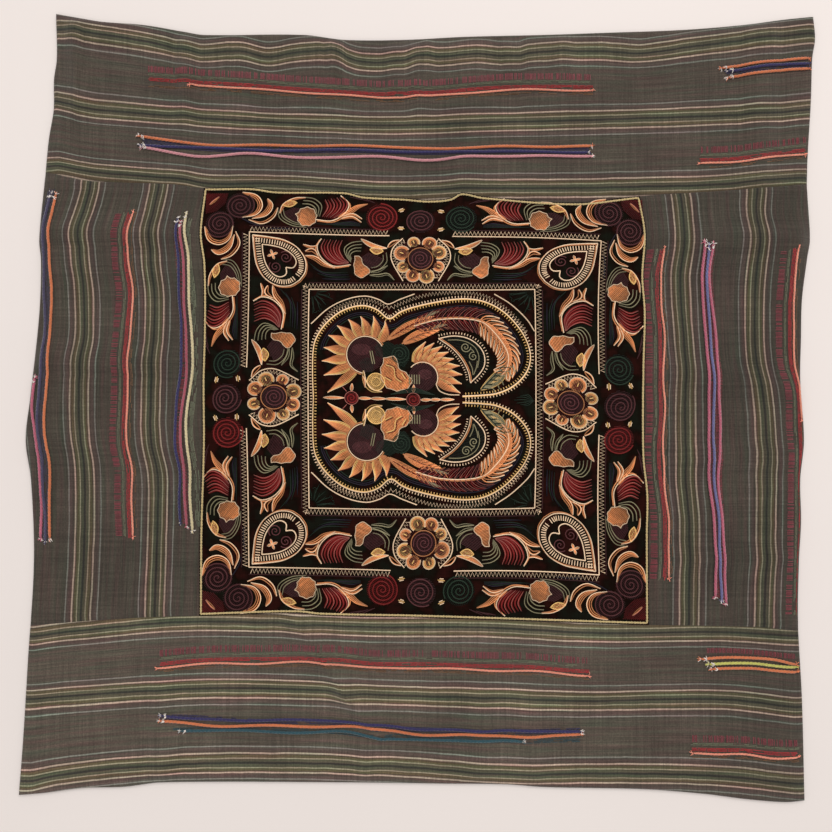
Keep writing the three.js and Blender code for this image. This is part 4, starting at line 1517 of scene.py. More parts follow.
def petal(put, tint, edge, base, tip, width, bow=0.0, tone=1.0, edgeGirth=0.4):
    ahead, side, length = headingFrom(base, tip)
    share = np.linspace(0, 1, max(7, int(length / 1.2)))
    bulge = np.sin(np.pi * share ** 0.85) ** 0.8 * width / 2
    spine = np.array(base) + np.outer(share * length, ahead) + np.outer(bow * np.sin(np.pi * share), side)
    count = max(2, int(round(width / 0.95)))
    lift = threadLook["satinLift"] + 0.1
    for m in np.linspace(-1, 1, count + 2)[1:-1]:
        inner = slice(1, -1) if abs(m) > 0.4 else slice(None)
        shade = np.array([0.55, 0.85, 1.1, 1.15]) * tone * draws.uniform(0.8, 1.15)
        stitch(put, tint, (spine + np.outer(bulge * m, side))[inner], 0.48, lift, shade)
    if edge:
        for m in (-1, 1):
            stitch(put, edge, spine + np.outer(bulge * m, side), edgeGirth, tone=(0.6, 0.9, 1.0))


def horn(put, tint, points, width, edge=None, tone=1.0):
    route = bend(points)
    at, length = alongRoute(route)
    distance = np.linspace(0, length, len(route))
    bulge = np.sin(np.pi * np.linspace(0, 1, len(route)) ** 0.8) * width / 2
    count = max(2, int(round(width / 0.8)))
    for m in np.linspace(-1, 1, count):
        shade = tone * (0.85 + 0.3 * m) * np.array([0.8, 1.15, 1.0, 0.7])
        stitch(put, tint, at(distance, bulge * m), 0.46, tone=shade)
    if edge:
        stitch(put, edge, at(distance, bulge + 0.2), 0.42, threadLook["lineLift"] + 0.2, (0.8, 1.05, 0.8))


outerBand = {
    "cornerSpiral": (-113.5, 126),
    "cornerRadius": 9.2,
    "crescents": [
        ([(-112, 135.2), (-103.5, 132), (-101, 126), (-104, 120.5), (-112, 118)], 2.6),
        ([(-96.5, 131), (-94.5, 126.5), (-98, 120.5), (-106, 117)], 3.2),
        ([(-90, 125), (-93, 118.5), (-100, 114), (-108, 116.2)], 1.4),
    ],
    "stalk": [(-88.5, 121), (-86, 127), (-79, 131.5), (-72.5, 132.5)],
    "eye": (-82.5, 128),
    "cupFirst": [(-90, 124), (-88.5, 117.5), (-81, 113), (-72, 112)],
    "cupLast": [(-86.5, 124), (-85.5, 119.5), (-81, 116), (-76.5, 114.5)],
    "lobe": [
        (-79, 121), (-74.5, 125.8), (-70, 126.4), (-66.3, 124), (-65.2, 119), (-66.8, 114.6),
        (-71, 112.6), (-76, 113.4),
    ],
    "body": [(-80, 125.5), (-75, 125), (-76, 119), (-77, 114.8), (-83, 115.5), (-86.5, 119), (-85.5, 123)],
    "ribStart": [(-73.5, 133), (-67, 132), (-62.5, 127.5), (-63.8, 119.8)],
    "ribEnd": [(-74.5, 128.3), (-69.5, 128), (-66, 124.8), (-66.2, 120)],
    "leafFirst": [(-60.5, 131.5), (-58.6, 126.5), (-62, 119.6)],
    "leafLast": [(-49.5, 134.2), (-46.4, 129.5), (-49, 123.5), (-55, 118.8)],
    "leafEdge": [(-50.5, 135), (-45.3, 129.5), (-48, 122.5), (-56, 117.2), (-66, 117.6)],
    "tails": [
        ([(-52, 119.5), (-45, 123.5), (-40, 127.5), (-33.5, 130)], 3.0),
        ([(-48.5, 120.5), (-42.5, 122), (-37, 119)], 0.9),
        ([(-50, 118.6), (-43, 120), (-37.5, 116.6)], 0.9),
    ],
    "shadows": [
        [(-66, 114.8), (-52, 114.5), (-38, 114.2)],
        [(-50, 116.4), (-43, 116.8), (-38, 115.6)],
    ],
    "cornerPatch": [(-135, 135), (-121, 135), (-122.5, 128), (-128, 122.5), (-135, 121)],
    "cornerHorn": [(-132.5, 127), (-126.5, 132.5)],
    "underLines": [
        [(-101, 112), (-106, 113.5), (-112, 117)],
        [(-97, 109.8), (-90, 110.6), (-82, 110.4)],
    ],
    "flecks": [(-12.2, 126.5, 20), (-12.2, 112.8, -10), (12.2, 126, -20), (12.5, 112.2, 10)],
}
sideSpirals = [  # design place, radius, thread
    (-24.5, 120.5, 10.2, "red"), (0, 118.5, 9, "plum"), (24.5, 120.5, 9.8, "green"),
    (-119.5, 22.5, 9.4, "green"), (-119.5, 0, 9.8, "plum"), (-119.5, -22, 10, "red"),
    (119.5, 22.5, 9.6, "green"), (119.5, 0, 10, "plum"), (119.5, -22.5, 9.6, "red"),
    (-24.5, -119.5, 10, "red"), (0, -120, 9.4, "plum"), (23, -119.5, 9.6, "green"),
]


def scallops(ring, depth, pitch):
    route = evenly(closed(np.asarray(ring, float)), 0.6)
    at, length = alongRoute(route)
    count = max(3, round(length / pitch))
    distance = np.linspace(0, length, len(route))[:-1]
    return at(distance, -depth * np.abs(np.sin(np.pi * count * distance / length)))


def lobe(put, ring, slant, tones=(0.4, 1.2), depth=0.9, pitch=5.0):
    edge = scallops(bend(list(ring) + [ring[0]]), depth, pitch)
    satin(put, "tan", edge, slant, tones)
    stitch(put, "cream", closed(edge), 0.36, threadLook["lineLift"] + 0.05, 0.75)


def blossomEye(put, at, width, height, turn=0.0):
    here = placed(at, turn, parent=put)
    half = width / 2
    share = np.linspace(0, 1, 16)
    x = -half + width * share
    y = np.sin(np.pi * share) * height / 2
    ring = np.concatenate([np.column_stack([x, y]), np.column_stack([x, -y])[::-1]])
    satin(here, "ochre", ring, 12, 1.0)
    stitch(here, "ochre", closed(ring), 0.45, threadLook["lineLift"] + 0.1, tone=1.3)
    stitch(here, "tan", closed(ring * 0.5), 0.42, tone=0.6)


def ribs(put, first, last, count):
    for k, line in enumerate(between(first, last, count)):
        stitch(put, "red", line, 0.9, 0.1, (0.45, 1.15, 1.15, 0.5), taper=True)
        # Every other rib gets a thin rose line laid on its crest: a painted highlight.
        if k % 2 == 0:
            stitch(put, "rose", line + (0.25, 0.25), 0.26, 0.85, (0.5, 1.1, 0.6))


def outerHalf(put):
    look = outerBand
    at, radius = look["cornerSpiral"], look["cornerRadius"]
    spiral(put, "plum", at, radius, begin=2.5, girth=0.62, tone=1.25, ground=0.4)
    for points, width in look["crescents"]:
        horn(put, "tan", points, width, "cream")
    satin(put, "plum", look["body"], 30, 0.75)
    blossomEye(put, look["eye"], 9.5, 4.2, 12)
    horn(put, "tan", look["stalk"], 1.3, "cream")
    for line in between(look["cupFirst"], look["cupLast"], 3):
        stitch(put, "olive", line, 0.42, tone=(0.6, 1.1, 0.7))
    lobe(put, look["lobe"], 140)
    for line in between(look["ribStart"], look["ribEnd"], 3):
        stitch(put, "olive", line, 0.46, tone=(0.7, 1.2, 0.6))
    ribs(put, look["leafFirst"], look["leafLast"], 7)
    stitch(put, "cream", bend(look["leafEdge"]), 0.5)
    stitch(put, "tan", bend(np.array(look["leafEdge"]) + (0.9, -0.9)), 0.5, tone=0.9)
    for points, width in look["tails"]:
        horn(put, "tan", points, width, "cream" if width < 2 else None)
    shadowLeaf(put, *look["shadows"])
    for k in range(3):
        stitch(put, "plum", [(-45 + 4 * k, 134.5), (-37 + 4 * k, 133 - k)], 0.6, 0.2, 0.7, taper=True)


def shadowLeaf(put, first, last):
    for k, line in enumerate(between(first, last, 4)):
        stitch(put, ("green", "navy")[k % 2], line, 0.62, 0.15, (0.5, 1.25, 0.5), taper=True)


def cornerGround(put):
    look = outerBand
    satin(put, "red", look["cornerPatch"], 45, (0.25, 0.6))
    horn(put, "tan", look["cornerHorn"], 1.0, "rose", 0.7)
    for points in look["underLines"]:
        stitch(put, "navy", bend(points), 0.6)


def flecks(put):
    for x, y, turn in outerBand["flecks"]:
        here = placed((x, y), turn, parent=put)
        for k, length in enumerate((2.4, 4.2, 2.8)):
            tint = "ochre" if k == 1 else "cream"
            stitch(here, tint, [(-length / 2, k * 0.9 - 0.9), (length / 2, k * 0.9 - 0.7)], 0.42)


def frameLine(reach, gap, zigzagOut):
    for quarter in range(4):
        here = placed(angle=90 * quarter)
        runs = [(-reach, -gap), (gap, reach)] if gap else [(-reach, reach)]
        for start, end in runs:
            stitch(here, "cream", [(start, reach), (end, reach)], 0.5)
            longer = 0 if gap else zigzagOut
            edge = [(start - longer, reach), (end + longer, reach)]
            teeth(here, "cream", edge, 2.3, 0.8, zigzagOut, 0.38, 0.95)
            beyond = reach + zigzagOut + 0.7
            stitch(here, "plum", [(start, beyond), (end, beyond)], 0.5, 0.1, 0.6)


# Hearts in the corners of the inner band

heartLook = {
    "outer": [
        (-105.5, 105.5), (-96, 104.6), (-86, 102.8), (-77.5, 97.8), (-72.6, 90), (-72.6, 82),
        (-76.2, 76.2),
    ],
    "inner": [
        (-99.5, 99.5), (-93, 98.8), (-86, 96.8), (-80, 92.4), (-78.2, 88), (-80.2, 84.4), (-84.6, 84.6),
    ],
    "scroll": (-84.8, 91.2),
    "scrollRadius": 4.2,
    "star": (-93, 93),
}


def heart(put):
    look = heartLook
    outer = bend(look["outer"])

    def mirrored(points):
        return put(np.column_stack([-points[:, 1], -points[:, 0]]))

    for half in (put, mirrored):
        stitch(half, "cream", outer, 0.52)
        stitch(half, "tan", bend(np.array(look["outer"]) + (0.75, -0.8)), 0.42, tone=0.7)
        stitch(half, "cream", bend(look["inner"]), 0.52)
        ticks(half, "cream", outer, 1.7, -1.4, -4.4, 0.42, 1.0)
        spiral(half, "plum", look["scroll"], look["scrollRadius"], 1.9, begin=1.0, girth=0.5, tone=1.6)
    for turn in (20, 110):
        here = placed(look["star"], turn, parent=put)
        for x in (-3.4, 3.4):
            petal(here, "tan", "cream", (x, 0), (0, 0), 1.5, tone=1.1, edgeGirth=0.25)


innerBand = {
    "leafEdge": [(-62.5, 104.6), (-65.2, 99), (-62.5, 91.5), (-55, 86), (-44, 87)],
    "leafFirst": [(-60.5, 104), (-62.6, 98.5), (-59.5, 91.8), (-53, 87.6), (-45.5, 87.8)],
    "leafLast": [(-49.5, 103.5), (-51.5, 97.5), (-49, 91.5), (-45.5, 88.2)],
    "ribFirst": [(-36.5, 103.5), (-43.5, 102.2), (-48, 98), (-46.5, 92.5), (-43.8, 88.8)],
    "ribLast": [(-37.5, 96.5), (-41.5, 96.3), (-44.2, 94), (-43.5, 91)],
    "stems": [
        ([(-74, 100), (-69, 98.5), (-65, 99.5)], 0.9),
        ([(-72.5, 95.5), (-68, 96.5), (-64.5, 92.5)], 1.8),
        ([(-72.5, 92.5), (-66.5, 91), (-61, 87), (-54, 84.4)], 2.4),
    ],
    "tulip": [
        (-41.5, 93), (-38.3, 93.5), (-35.2, 87), (-31.2, 83.6), (-34, 79.4), (-38, 78), (-41.2, 80.2),
        (-42.2, 86),
    ],
    "eye": (-27.6, 97),
    "cupFirst": [(-21.5, 95.5), (-21.2, 89), (-26, 84), (-32, 82.6)],
    "cupLast": [(-23.5, 94), (-23.5, 90), (-27, 86), (-31, 85)],
    "body": [(-37.5, 92), (-33, 95.5), (-27, 93.5), (-22.5, 91), (-24.5, 86), (-30.5, 84.3), (-35, 87)],
    "leafBase": (-37.5, 105),
    "leafTip": (-21, 98.5),
    "stalk": [(-20.5, 99), (-17, 102.5), (-13, 104.2)],
    "tendrils": [
        [(-31.5, 81.8), (-26, 83), (-20.5, 86.5)],
        [(-32, 80), (-26, 79.8), (-20.5, 80.6), (-16.5, 76.6)],
    ],
    "shadows": [
        [(-71, 88.5), (-62, 82), (-46, 81.6)],
        [(-62, 77.4), (-52, 77.2), (-44, 77.4)],
    ],
}


def innerHalf(put):
    look = innerBand
    for points, width in look["stems"]:
        horn(put, "tan", points, width, "cream")
    ribs(put, look["leafFirst"], look["leafLast"], 7)
    stitch(put, "cream", bend(look["leafEdge"]), 0.52)
    stitch(put, "tan", bend(np.array(look["leafEdge"]) - (0.9, 0.9)), 0.5, tone=0.85)
    for line in between(look["ribFirst"], look["ribLast"], 4):
        stitch(put, "olive", line, 0.44, tone=(0.6, 1.2, 0.7))
    satin(put, "plum", look["body"], -25, 0.75)
    lobe(put, look["tulip"], 20, (1.2, 0.45), 0.6, 6.0)
    blossomEye(put, look["eye"], 8.5, 5.2, -8)
    petal(put, "tan", "cream", look["leafBase"], look["leafTip"], 2.8, -1.6)
    horn(put, "tan", look["stalk"], 2.0, "cream")
    for line in between(look["cupFirst"], look["cupLast"], 2):
        stitch(put, "olive", line, 0.42, tone=(0.7, 1.2, 0.7))
    for points in look["tendrils"]:
        horn(put, "olive", points, 1.4, tone=1.15)
    shadowLeaf(put, *look["shadows"])


rosetteLook = {
    "core": 6.4,
    "ring": 12.2,
    "petals": 8,
    "petalRadius": 3.7,
    "threads": ("ochre", "tan"),
    "fence": [(-11, 105.6), (-17.3, 98.5), (-18.2, 90.5), (-11, 76)],
}


def rosette(put):
    look = rosetteLook
    centre = (0, design["rosette"])
    satin(put, "red", circle(centre, look["ring"] + 3), 50, 0.16, 1.1, 0.0)
    satin(put, "plum", circle(centre, look["core"] + 1), 20, 0.5)
    spiral(put, "plum", centre, look["core"], 2.1, girth=0.5, tone=1.9)
    stitch(put, "tan", closed(circle(centre, look["core"] + 1.3)), 0.42, tone=0.6)
    for k in range(look["petals"]):
        turn = 2 * np.pi * (k + 0.5 + 0.12 * math.sin(5 * k)) / look["petals"]
        radius = look["petalRadius"] * (1 + 0.2 * math.sin(2.4 * k + 0.6))
        away = towards(turn)
        at = np.array(centre) + look["ring"] * away
        tint = look["threads"][k % 2]
        satin(put, tint, circle(at, radius), math.degrees(turn), (0.2, 0.7))
        satin(put, "red", circle(at - away * 0.8, radius * 0.5), math.degrees(turn) + 90, 0.45, lift=0.3)
        for grow, dye, tone in ((0.0, tint, 1.25), (-0.75, "tan", 0.9), (0.65, "cream", 0.8)):
            arc = np.linspace(turn - 2.3, turn + 2.3, 26)
            ring = at + (radius + grow) * np.column_stack([np.cos(arc), np.sin(arc)])
            stitch(put, dye, ring, 0.42, threadLook["lineLift"] + 0.1, tone)
        stitch(put, "ochre", [at - 0.9 * away, at + 1.4 * away], 0.45, 0.9, 1.3)
    for flip in (1, -1):
        here = placed(flip=flip, parent=put)
        fence = bend(look["fence"])
        stitch(here, "cream", fence, 0.5)
        teeth(here, "cream", fence, 2.1, 0.9, 3.3, girth=0.4)


field = {
    "scale": (0.967, 0.983),
    "outerLine": [
        (-71, 48.5), (-60, 58.8), (-48, 65), (-36.1, 67.2), (-27.5, 65), (-21.3, 61.8), (-14, 64.8),
        (-4, 68.6),
    ],
    "outerRight": [(46.9, 68.7), (57.2, 62), (67.4, 52.1), (72, 44.8)],
    "teethRight": [(8, 70.6), (28, 71.4), (42, 69), (54, 61.5), (64, 51.5), (69, 44)],
    "innerLine": [
        (-69.3, 0), (-69.8, 18), (-68.9, 34.8), (-65, 44), (-59.3, 51), (-52, 56.8), (-43.8, 60.1),
        (-36.1, 60.8), (-28.4, 58.1), (-20.6, 52.3), (-13.5, 56.6), (-6.4, 59.4), (10, 63.3),
        (26.5, 65.5), (39.4, 64), (51, 58.2), (59.9, 49.7), (66.5, 39.5), (69.3, 28.6), (66.8, 18.6),
        (59, 9.6), (48, 4.2), (36, 2.7), (26, 2.2),
    ],
    "discs": [(-36, 28.4, 11.4), (0.6, 14.4, 9)],
    "leftPetals": {
        "count": 10, "first": 60, "gap": 18.4, "reach": 25.6, "growth": 8.5, "bias": 4, "width": 6.2,
        "leans": (18, -12), "hook": 3.2,
    },
    "rightPetals": {
        "count": 9, "first": 84, "gap": -13.4, "reach": 22.8, "growth": 2.6, "bias": 1, "width": 6.2,
        "leans": (-34, -10), "hook": -2.4,
    },
    "greenBlob": [
        (-30.2, 34), (-27.2, 36.5), (-21, 37.2), (-17, 35), (-12.9, 36), (-7.7, 31.9), (-7.7, 25.8),
        (-10.8, 21.2), (-14.9, 20.7), (-19, 25.8), (-25.1, 26.8), (-29.2, 27.8),
    ],
    "greenPatch": [(-40.5, 24), (-35, 27), (-30.5, 24), (-31, 17.5), (-38, 17)],
    "blossom": [
        (-24.5, 26.5), (-20, 28.2), (-15.4, 26.5), (-14.6, 21), (-10, 17.5), (-6, 13), (-7.5, 8),
        (-13, 5.2), (-20, 5.6), (-24.5, 9), (-27, 17),
    ],
    "blossomVeins": [
        [(-23, 22), (-18, 20), (-17, 14), (-13, 11)],
        [(-24, 14), (-19.5, 11.5)],
        [(-13, 17), (-10.5, 13)],
    ],
    "bud": (-29.4, 10.9),
    "budHorn": [(-37.5, 18), (-36.5, 10.5), (-32, 5.2), (-25.5, 4.4)],
    "discHorn": [(-38, 14.6), (-37, 11), (-36.4, 7)],
    "footLine": [(9.2, 9.8), (11.2, 5.8), (17, 3.3), (24, 3)],
    "leaves": [((-22.4, 38), (8.5, 54), 7, 1.6), ((-12.5, 35.8), (12.7, 45.6), 7.6, 1.4)],
}
plumeLook = {
    "stem": [
        (-4.5, 47.4), (4, 50), (11, 51.6), (26.4, 52.3), (39.3, 50), (47, 43.2), (53.4, 34.2),
        (55.6, 27.7), (54.6, 21), (50.8, 15.4),
    ],
    "pitch": 3.5,
    "reach": 8.4,
    "barbAlong": (0.2, 2.4, 5.6, 9),
    "barbOut": (0.42, 0.75, 1),
    "overrun": 4,
    "tipLeaves": [
        ("olive", "ochre", (55, 22), (37.5, 6.2), 7.4, 1.4, 1.05),
        ("ochre", None, (52.5, 17.5), (44, 10.6), 3.2, 0.8, 0.95),
    ],
    "tipHairs": 6,
}
dropLook = {
    "right": [
        (11, 39.3), (20, 41), (29, 39.8), (36, 35.5), (40, 29.4), (40.2, 22.2), (36.8, 16.4),
        (31.2, 10.8),
    ],
    "left": [(11, 39.3), (19.6, 33.2), (26, 25.8), (30, 17.6), (31.2, 10.8)],
    "spirals": [((28.3, 33.8), 3.4, 1), ((33.2, 27.8), 3.0, -1)],
    "veins": [
        ([(17, 38.4), (24, 38.4), (30, 36.8), (34.8, 33), (36.8, 27.5), (35.8, 20.5)], 0.4),
        ([(31.2, 33), (33.4, 31.4), (33.8, 30)], 0.4),
        ([(30.5, 24.5), (32.5, 20), (32.8, 16)], 0.45),
        ([(35.8, 25), (35, 20.5), (33.2, 16)], 0.45),
    ],
}


def flame(put, base, tip, width, hook):
    ahead, side, length = headingFrom(base, tip)
    share = np.linspace(0, 1, max(8, int(length)))
    half = width / 2 * (0.62 + 0.46 * np.sin(np.pi * np.minimum(share * 1.15, 1)))
    half *= (1 - share ** 1.7) ** 0.95
    sway = hook * (share ** 2.2 - share) * 1.7
    spine = base + np.outer(share * length, ahead) + np.outer(sway, side)
    count = int(width / 0.82)
    # Lines on the flame's one side are ochre and brighter, on the other tan and darker: that side is
    # painted as lit.
    for m in np.linspace(-1, 1, count):
        spots = spine + np.outer(half * m, side)
        shade = np.array([0.8, 0.95, 1.1, 1.25]) * (0.95 + 0.2 * m) * draws.uniform(0.82, 1.12)
        stitch(put, "tan" if m < 0.45 else "ochre", spots, 0.5, threadLook["satinLift"] + 0.1, shade)
    far = len(share) * 2 // 5
    # A cream line down the lit side from two fifths of the length is a painted highlight; a dark red line
    # just past the other side is painted shade between the flames.
    stitch(put, "cream", (spine + np.outer(half + 0.1, side))[far:], 0.36, tone=(0.6, 0.95, 1.1))
    stitch(put, "red", (spine + np.outer(-half - 0.4, side))[far:], 0.45, 0.34, (0.5, 0.3, 0.1))


def petalFan(put, centre, inner, look):
    first, last = look["leans"]
    centre = np.array(centre)
    for k in range(look["count"]):
        share = k / (look["count"] - 1)
        turn = math.radians(look["first"] + look["gap"] * k)
        foot = turn - math.radians(first + (last - first) * share)
        reach = (look["reach"] + look["growth"] * share ** look["bias"]) * draws.uniform(0.97, 1.03)
        base = centre + inner * towards(foot)
        tip = centre + reach * towards(turn)
        flame(put, base, tip, look["width"], look["hook"] * (1 - 1.2 * share))


def plume(put):
    look = plumeLook
    stem = bend(look["stem"])
    at, length = alongRoute(stem)
    stitch(put, "cream", stem, 0.55)
    stitch(put, "tan", stem + (0.3, 0.9), 0.5, tone=0.9)
    horn(put, "tan", stem[len(stem) // 2:], 5.4, tone=0.95)
    for k in range(int(length / look["pitch"])):
        distance = (k + 0.4) * look["pitch"]
        share = distance / length
        reach = look["reach"] * math.sin(math.pi * min(share * 0.7 + 0.16, 1)) ** 0.7
        for side in (-1, 1):
            along = np.array(look["barbAlong"]) * (0.75 + 0.3 * share) + distance - 0.6
            out = side * np.array([0.6, *(reach * part for part in look["barbOut"])])
            if along[-1] > length + look["overrun"]:
                continue
            line = at(np.minimum(along, length), out)
            if share < 0.5:
                horn(put, "red" if (k + side) % 3 else "plum", line, 2.7, tone=0.75)
                # A thin rose line along each red barb's crest is a painted highlight.
                stitch(put, "rose", bend(line), 0.28, 0.95, (0.9, 0.6, 0.3))
            else:
                horn(put, "tan", line, 1.9, tone=1.05)
                tip = bend(line)
                stitch(put, "cream", tip[len(tip) // 3:] + (0, 0.5), 0.36, 0.9, (0.7, 1.0, 1.1))
    for leaf in look["tipLeaves"]:
        petal(put, *leaf)
    for k in range(look["tipHairs"]):
        root = np.array([55.5 - 2.6 * k, 21 - 2.8 * k])
        stitch(put, "olive", bend([root, root + (3, 0.4), root + (4.6, -3)]), 0.46, 0.6, (0.7, 1.2, 0.8))
        stitch(put, "green", bend([root, root + (-4, 0), root + (-6.5, -2.6)]), 0.46, 0.7, (1.0, 1.6, 1.0))


def drop(put):
    look = dropLook
    right = bend(look["right"])
    left = bend(look["left"])
    satin(put, "green", np.concatenate([right, left[::-1]]), 10, 0.4, 1.0, 0.0)
    stitch(put, "cream", right, 0.5)
    stitch(put, "cream", left, 0.44, tone=0.9)
    stitch(put, "tan", left + (0.8, 0.5), 0.42, tone=0.8)
    ticks(put, "cream", right, 1.75, 1.35, 2.6, 0.4, 0.95)
    ticks(put, "cream", left, 1.75, -1.2, -2.4, 0.38, 0.8)
    for at, radius, spin in look["spirals"]:
        spiral(put, "olive", at, radius, 1.7, spin, girth=0.45, tone=1.25)
    for points, girth in look["veins"]:
        stitch(put, "olive", bend(points), girth)


def arcRing(put, tint, centre, radius, start, end, girth, tone=1.0):
    turn = np.linspace(math.radians(start), math.radians(end), threadLook["circlePoints"])
    ring = np.array(centre) + radius * np.column_stack([np.cos(turn), np.sin(turn)])
    stitch(put, tint, ring, girth, tone=tone)


def wingRim(put):
    look = field
    for points in (look["outerLine"], look["outerRight"]):
        stitch(put, "cream", bend(points), 0.5)
    rim = bend(look["innerLine"])
    stitch(put, "cream", rim, 0.5, threadLook["lineLift"] + 0.2, 1.1)
    ticks(put, "cream", rim, 1.95, 0.7, 2.1, 0.4, 0.95)
    ticks(put, "ochre", rim, 1.95, -0.9, -2.2, 0.4, 1.1)
    stitch(put, "ochre", rim + (0.1, -0.5), 0.4, threadLook["lineLift"] + 0.25, 1.2)
    along = [(x + 0.8, y - 0.6) for x, y in look["outerLine"][1:]]
    under = bend([(-69.6, 42), *along, *look["teethRight"]])
    teeth(put, "cream", under, 2.2, -0.7, -3.2, 0.36, 0.75)
    at, length = alongRoute(rim)
    for depth, tint in ((4.6, "navy"), (5.8, "navy"), (7.2, "green")):
        distance = np.linspace(length * 0.12, length * 0.86, 120)
        stitch(put, tint, at(distance, np.full(120, -depth)), 0.6, 0.05)


def wing(put):
    look = field
    wingRim(put)
    x, y, radius = look["discs"][0]
    petalFan(put, (x, y), radius + 1.6, look["leftPetals"])
    satin(put, "plum", circle((x, y), radius), 35, 0.8)
    satin(put, "plum", circle((x - 2.6, y + 3.4), 6.2, 0.62), 70, 1.45, lift=0.35)
    arcRing(put, "cream", (x, y), radius + 0.7, 28, 262, 0.45)
    arcRing(put, "tan", (x, y), radius + 1.7, 30, 258, 0.5, 0.7)
    horn(put, "tan", look["discHorn"], 1.0, "cream")
    x, y, radius = look["discs"][1]
    petalFan(put, (x, y), radius + 1.4, look["rightPetals"])
    satin(put, "plum", circle((x, y), radius), -30, 0.8)
    satin(put, "plum", circle((x + 1.4, y + 1.8), 4.6, 0.7), 20, 1.4, lift=0.35)
    arcRing(put, "cream", (x, y), radius + 0.7, -28, 140, 0.5)
    stitch(put, "cream", bend(look["footLine"]), 0.45, tone=0.95)
    satin(put, "green", look["greenBlob"], 20, 1.0)
    spiral(put, "green", (-14, 29), 6.5, 2.0, girth=0.5, tone=1.7)
    satin(put, "green", look["greenPatch"], 0, 0.7)
    for x in (-33.2, -31.8):
        stitch(put, "olive", [(x, 31), (x + 1.7, 22.6)], 0.45, tone=1.15)
    lobe(put, look["blossom"], 65, (1.25, 0.85), 0.9, 7.0)
    for points in look["blossomVeins"]:
        stitch(put, "ochre", bend(points), 0.5, 0.6, 1.2)
        stitch(put, "red", bend(np.array(points) + (0.9, 0.5)), 0.3, 0.6, 0.6)
    satin(put, "ochre", circle(look["bud"], 5.4), 40, (0.7, 1.05))
    for ring, tone in ((5.6, 1.1), (2.9, 0.8)):
        stitch(put, "ochre", closed(circle(look["bud"], ring)), 0.42, 0.6, 1.3 * tone)
    horn(put, "ochre", look["budHorn"], 2.0, "cream", 1.1)
    for k in range(5):
        stitch(put, "olive", [(-8 + 1.6 * k, 10), (-8 + 1.6 * k, 16)], 0.5, tone=1.1)
    for base, tip, width, bow in look["leaves"]:
        bigLeaf(put, base, tip, width, bow)
    plume(put)
    drop(put)
    for k in range(4):
        route = [(-20 + k, 3 + 0.3 * k), (-6, 4.6 + 0.9 * k), (8 - k, 3.2 + 0.4 * k)]
        stitch(put, "green", bend(route), 0.55, tone=1.2)


def bigLeaf(put, base, tip, width, bow):
    petal(put, "tan", None, base, tip, width, bow, tone=1.15)
    ahead, side, _ = headingFrom(base, tip)
    base = np.array(base)
    tip = np.array(tip)
    middle = (base + tip) / 2 + side * bow
    vein = [base + ahead * 4 + side * bow * 0.4, middle, tip - ahead * 7 + side * bow * 0.5]
    stitch(put, "red", bend(vein), 0.4, 0.6, (0.4, 0.8, 0.4), taper=True)
    for k in range(7):
        root = base + ahead * (6 + 3.7 * k) + side * (bow * 0.8)
        for flip in (-1, 1):
            end = root + ahead * 4 + side * flip * width * 0.36
            stitch(put, "tan", [root, end], 0.3, 0.7, 0.45 + 0.5 * (flip > 0))
    for k in range(3):
        root = tip - ahead * (6 - 2 * k)
        end = root + ahead * 7 + side * (3.4 - k)
        stitch(put, "olive", [root + side * 1.5, end], 0.6, 0.5, 1.1, taper=True)


middleLook = {
    "leaves": [(-61, -48), (-39.5, -31), (-32, -22), (-23, -10), (-1, 6), (5, 12), (11, 20)],
    "roses": (-43.6, -5.4),
}


def middleStem(put):
    for start, end in middleLook["leaves"]:
        petal(put, "tan", "cream", (start, 0), (end, 0), 1.8, tone=1.1, edgeGirth=0.3)
    for x in middleLook["roses"]:
        satin(put, "red", circle((x, 0), 3.6), 0, 0.6)
        spiral(put, "red", (x, 0), 3.6, 1.7, girth=0.4, tone=1.5)
        stitch(put, "rose", closed(circle((x, 0), 4.2)), 0.36, 0.6, 0.9)
        for side in (-1, 1):
            petal(put, "tan", "cream", (x, 4.2 * side), (x + 0.4, 9.4 * side), 2, tone=1.0, edgeGirth=0.25)
            stitch(put, "rose", [(x - 3, 4.2 * side), (x - 5.5, 7 * side)], 0.34, tone=0.8)


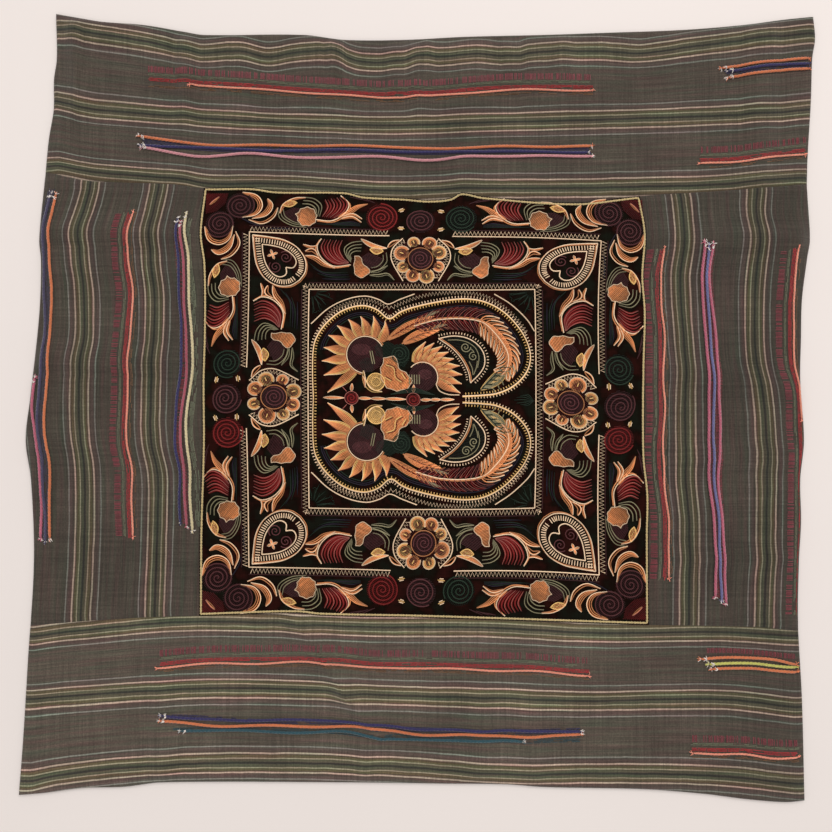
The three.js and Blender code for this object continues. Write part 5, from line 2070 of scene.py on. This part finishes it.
def cornerSpray(put):
    base = np.array([-68.5, 68.5])
    for k in range(9):
        turn = math.radians(-90 + 11.2 * k)
        reach = 9 + 7 * abs(math.cos(2 * (turn + math.pi / 4)) - 1) * 0.5 + 3 * (k % 2)
        ahead = towards(turn)
        side = leftOf(ahead)
        curl = (1, -1)[k % 2]
        middle = base + 0.6 * reach * ahead + 0.6 * curl * side
        route = [base + 3 * ahead, middle, base + reach * ahead + 2 * curl * side]
        stitch(put, "green", bend(route), 0.46, 0.2, (0.8, 1.5, 1.0), taper=True)
        if k % 3 == 0:
            spiral(put, "green", route[-1], 1.5, 1.2, curl, turn, 0.3, 1.3)


def sideSpray(put):
    base = np.array([69, 0])
    for k in range(7):
        turn = math.radians(180 + 15 * (k - 3))
        reach = 12 - 1.2 * abs(k - 3)
        ahead = towards(turn)
        route = [base, base + 0.6 * reach * ahead + (0, 0.5), base + reach * ahead + (0, k - 3)]
        stitch(put, "green", bend(route), 0.46, 0.2, (0.8, 1.5, 1.0), taper=True)


def drawEmbroidery():
    for quarter in range(4):
        turned = placed(angle=90 * quarter)
        for flip in (1, -1):
            half = placed(angle=90 * quarter, flip=flip)
            outerHalf(half)
            innerHalf(half)
        cornerGround(turned)
        heart(turned)
        rosette(turned)
        flecks(turned)
        cornerSpray(turned)
    for x, y, radius, tint in sideSpirals:
        tone = {"green": 1.9, "red": 1.05, "plum": 1.35}[tint]
        spiral(placed(), tint, (x, y), radius, begin=x, girth=0.64, tone=tone, ground=0.4)
    frameLine(design["frame"], design["frameGap"], design["zigzag"])
    frameLine(design["innerFrame"], 0, design["innerZigzag"])
    across, up = field["scale"]
    for flip in (1, -1):
        wing(lambda points, flip=flip: points * (across, up * flip))
    middleStem(placed())
    sideSpray(placed())


def makeEmbroidery():
    drawEmbroidery()
    for tint, rows in needlework.items():
        lines = []
        for points, girth, lift, tone in rows:
            spots = laid(points)
            level = topLevel(spots[:, 0], spots[:, 1], True) + lift
            lines.append((np.column_stack([spots, level]), girth, tone))
        finish = threadFinish(tint, "Thread", threadColours[tint])
        pale = threadColours[tint][0] > threadLook["glossFrom"]
        shader = finish.node_tree.nodes["Principled BSDF"]
        shader.inputs["Specular IOR Level"].default_value = threadLook["gloss" if pale else "dullness"]
        piece = spinThreads("embroidery_" + tint, lines, finish, flatness=threadLook["flatness"])
        keep(piece, "embroidered_cloth")
        print(tint, "thread:", len(piece.data.polygons), "faces")


makeEmbroidery()
print("embroidery is stitched")
